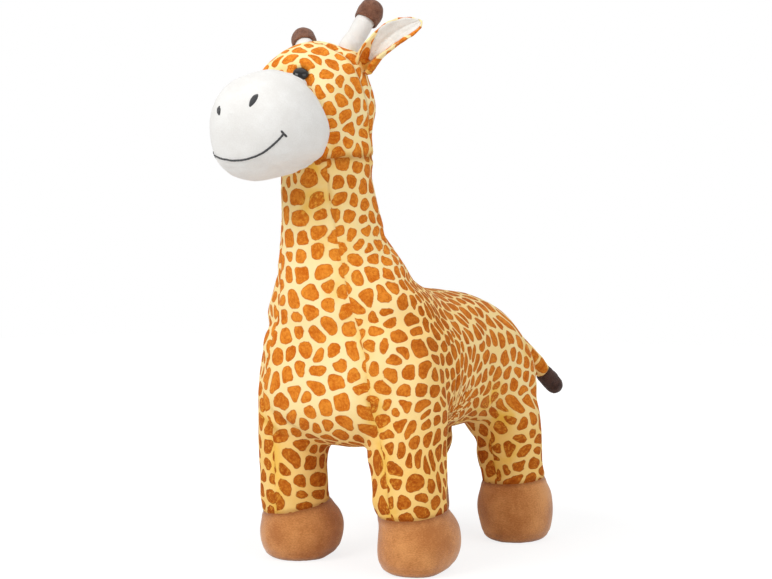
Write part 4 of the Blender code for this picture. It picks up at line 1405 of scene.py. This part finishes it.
def make_tail(printed, dark):
    at = frame_of((0.03097, 0.120904, 0.1952), (0.36028, 0.64997, -0.66913), (-0.3244, -0.58523, -0.74314))
    profile = round_profile(TAIL_LENGTH, 0.0085, TAIL_SHARES, 0.0, 80)
    mesh = lathe("tail_cover", at, profile, 48, 0.0003, 51, tail_bow)
    along = get_attribute(mesh, "cloth_own")[:, 1]
    # A golden ground near the root that is partly painted warm shade, painted shade where the tail leaves the
    # rump, and half the darker copy of each tone as painted shade
    put_attribute(mesh, "gold", np.clip(1.0 - along / 0.03, 0, 1) * 0.6 + 0.2)
    put_attribute(mesh, "crease", np.clip((0.006 - along) / 0.01, 0, 1) * 0.5)
    put_attribute(mesh, "deep", np.full(len(along), 0.5))
    cover = finish_piece(mesh, printed, "printed_plush", ["tail"], body=None, fill=0.8)
    start = at.translation
    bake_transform(cover, BODY, "tail", start=tuple(start), end=tuple(start + at.to_3x3() @ Vector((0, 0, 0.012))))
    profile = round_profile(0.026, 0.0081, TIP_SHARES, TAIL_LENGTH * 0.97, 48)
    mesh = lathe("tail_tip_cover", at, profile, 48, 0.0003, 61, tail_bow)
    finish_piece(mesh, dark, "tail_tip_plush", ["tail_tip"], body="tail", fill=0.8)


def on_surface(tree, point):
    """The nearest point of a surface, and which way it faces there."""
    hit = tree.find_nearest(Vector(point))
    return np.array(hit[0]), np.array(hit[1])


def mirrored(points, lift=0.0):
    """Points on the other side of the face, raised by so much."""
    local = head_local(np.array(points))
    local[:, 0] = -local[:, 0]
    local[:, 2] += lift
    return from_head(local)


def stitched_patch(name, tree, path, half_width, material):
    """A satin-stitched leaf laid on a surface."""
    path = spline(np.array(path), 25)
    rows, columns = len(path), 13
    co, uv = [], []
    for i, p in enumerate(path):
        t = i / (rows - 1)
        ahead = path[min(i + 1, rows - 1)] - path[max(i - 1, 0)]
        surface, normal = on_surface(tree, p)
        across = np.cross(normal, ahead)
        across /= np.linalg.norm(across)
        wide = half_width * max(math.sin(math.pi * (0.04 + 0.92 * t)), 0.0) ** 0.75
        for k in range(columns):
            w = -1 + 2 * k / (columns - 1)
            base, up = on_surface(tree, surface + across * wide * w)
            rise = 0.00005 + 0.0008 * math.sqrt(max(1 - w * w, 0)) * min(1, 4 * t, 4 * (1 - t))
            rise += 0.00008 * math.sin(t * 60) * (1 - abs(w))
            co.append(base + up * rise)
            uv.append((w, t * 10, 0))
    faces = []
    for i in range(rows - 1):
        for k in range(columns - 1):
            a = i * columns + k
            faces.append((a, a + 1, a + columns + 1, a + columns))
    return finish_piece(shell(name, co, faces, uv), material, "tail_tip_plush")


def thread_line(name, tree, path, material):
    """A sewn thread lying on a surface, thicker in the middle of each stitch."""
    path = spline(np.array(path), 150)
    steps = np.linalg.norm(np.diff(path, axis=0), axis=1)
    length = np.concatenate([[0], np.cumsum(steps)])
    count = max(int(length[-1] / 0.0004), 8)
    at = np.linspace(0, length[-1], count)
    line = np.stack([np.interp(at, length, path[:, k]) for k in range(3)], axis=1)
    sides = 10
    co, uv = [], []
    for i, p in enumerate(line):
        base, up = on_surface(tree, p)
        ahead = line[min(i + 1, count - 1)] - line[max(i - 1, 0)]
        ahead /= max(np.linalg.norm(ahead), 1e-9)
        across = np.cross(up, ahead)
        end = min(1.0, at[i] / 0.001, (at[-1] - at[i]) / 0.001) ** 0.5
        thick = THREAD_RADIUS * (0.80 + 0.20 * abs(math.sin(math.pi * at[i] / STITCH)) ** 0.5) * max(end, 0.05)
        for k in range(sides):
            a = 2 * math.pi * k / sides
            co.append(base + up * (0.00012 + 0.72 * thick * math.sin(a)) + across * thick * math.cos(a))
            uv.append((at[i] * 1000, k / sides, 0))
    return finish_piece(shell(name, co, tube_faces(count, sides), uv), material, "tail_tip_plush")


# Thickness of the thread and length of a stitch
THREAD_RADIUS, STITCH = 0.00085, 0.0032
# Paths of the embroidery in the photograph
NOSTRIL_LEFT = ((249.8, 106.8), (252.2, 102.0), (255.2, 97.2), (257.8, 94.2))
NOSTRIL_RIGHT = ((219.6, 115.2), (219.0, 112.0), (218.8, 108.8), (219.6, 105.8))
MOUTH = (
    (283.8, 133.8), (277.5, 140.8), (270.0, 147.5), (262.5, 153.0), (253.8, 157.0), (245.0, 159.5), (235.0, 160.5),
    (225.0, 159.3), (216.3, 156.3),
)
MOUTH_END = ((280.8, 130.4), (283.8, 133.8), (287.2, 137.2))


def make_embroidery(muzzle, grey):
    tree = tree_of(muzzle.data)
    for name, path in (("left", NOSTRIL_LEFT), ("right", NOSTRIL_RIGHT)):
        stitched_patch("nostril_" + name, tree, seen(tree, path), 0.0023, grey)
    line = seen(tree, MOUTH)
    # The hidden half goes on as high as the seen one ends, and comes half way back to its mirror image
    last = head_local(line[-1][None, :])[0]
    other = head_local(mirrored(line[::-1]))
    order = np.argsort(other[:, 0])
    lift = last[2] - np.interp(last[0], other[order, 0], other[order, 2])
    share = (other[:, 0] - other[-1, 0]) / (last[0] - other[-1, 0])
    hidden = mirrored(line[::-1], lift * (0.5 + 0.5 * np.clip(share, 0, 1)))
    line += [p for p in hidden if head_local(p[None, :])[0][0] < last[0] - 0.004]
    thread_line("mouth_thread", tree, line, grey)
    end = seen(tree, MOUTH_END)
    thread_line("mouth_end_left", tree, end, grey)
    thread_line("mouth_end_right", tree, mirrored(end, lift * 0.5), grey)


def thread_material(name):
    """Dark twisted thread."""
    g = Graph(name, 0.55, 0.3, 0.4, 0.35)
    parts = g.split(g.attribute("cloth_own"))
    wave = g.math("SINE", g.times(g.plus(parts[1], g.times(parts[0], 0.35)), 25.0))
    shade = g.plus(g.times(wave, 0.5), g.noise(g.attribute("rest_place"), 1500.0))
    colour = g.mix(g.ramp(shade, 0.0, 1.0), srgb(44, 44, 46), srgb(82, 82, 84))
    return g.finish(colour, g.bump(wave, 0.0002, 0.6))


def eye_material(name):
    """Glossy plastic, nearly black."""
    g = Graph(name, 0.05, 0.0, 0.4, 0.36)
    rest = g.attribute("rest_place")
    colour = g.mix(g.noise(rest, 900.0), srgb(8, 7, 7), srgb(16, 13, 12))
    return g.finish(colour, g.bump(g.noise(rest, 300.0, 1.0), 0.00005, 0.3))


def washer_material(name):
    """Pale plastic."""
    g = Graph(name, 0.5, 0.0, 0.4, 0.5)
    place = g.node("TexCoord", {}, "Object")
    colour = g.mix(g.noise(place, 400.0), srgb(222, 222, 216), srgb(236, 236, 232))
    return g.finish(colour, g.bump(g.noise(place, 900.0), 0.0001, 0.3))


make_camera()
make_stage()
skin = make_skin()
covers = cut_skin(skin)
own_print = print_material("printed_velour_small", [("cloth_own",)])
white_small = white_velour("white_velour_small")
make_horns(white_small, felt("horn_cap_felt", (142, 98, 76), (98, 60, 44)))
make_ears(own_print, white_velour("lining_velour", (237, 234, 228), (222, 218, 210)))
make_tail(own_print, felt("tail_tip_felt", (86, 60, 52), (52, 34, 30)))
make_eyes(eye_material("glossy_eye"), washer_material("washer_plastic"))
make_embroidery(covers["muzzle_cover"], thread_material("embroidery_thread"))
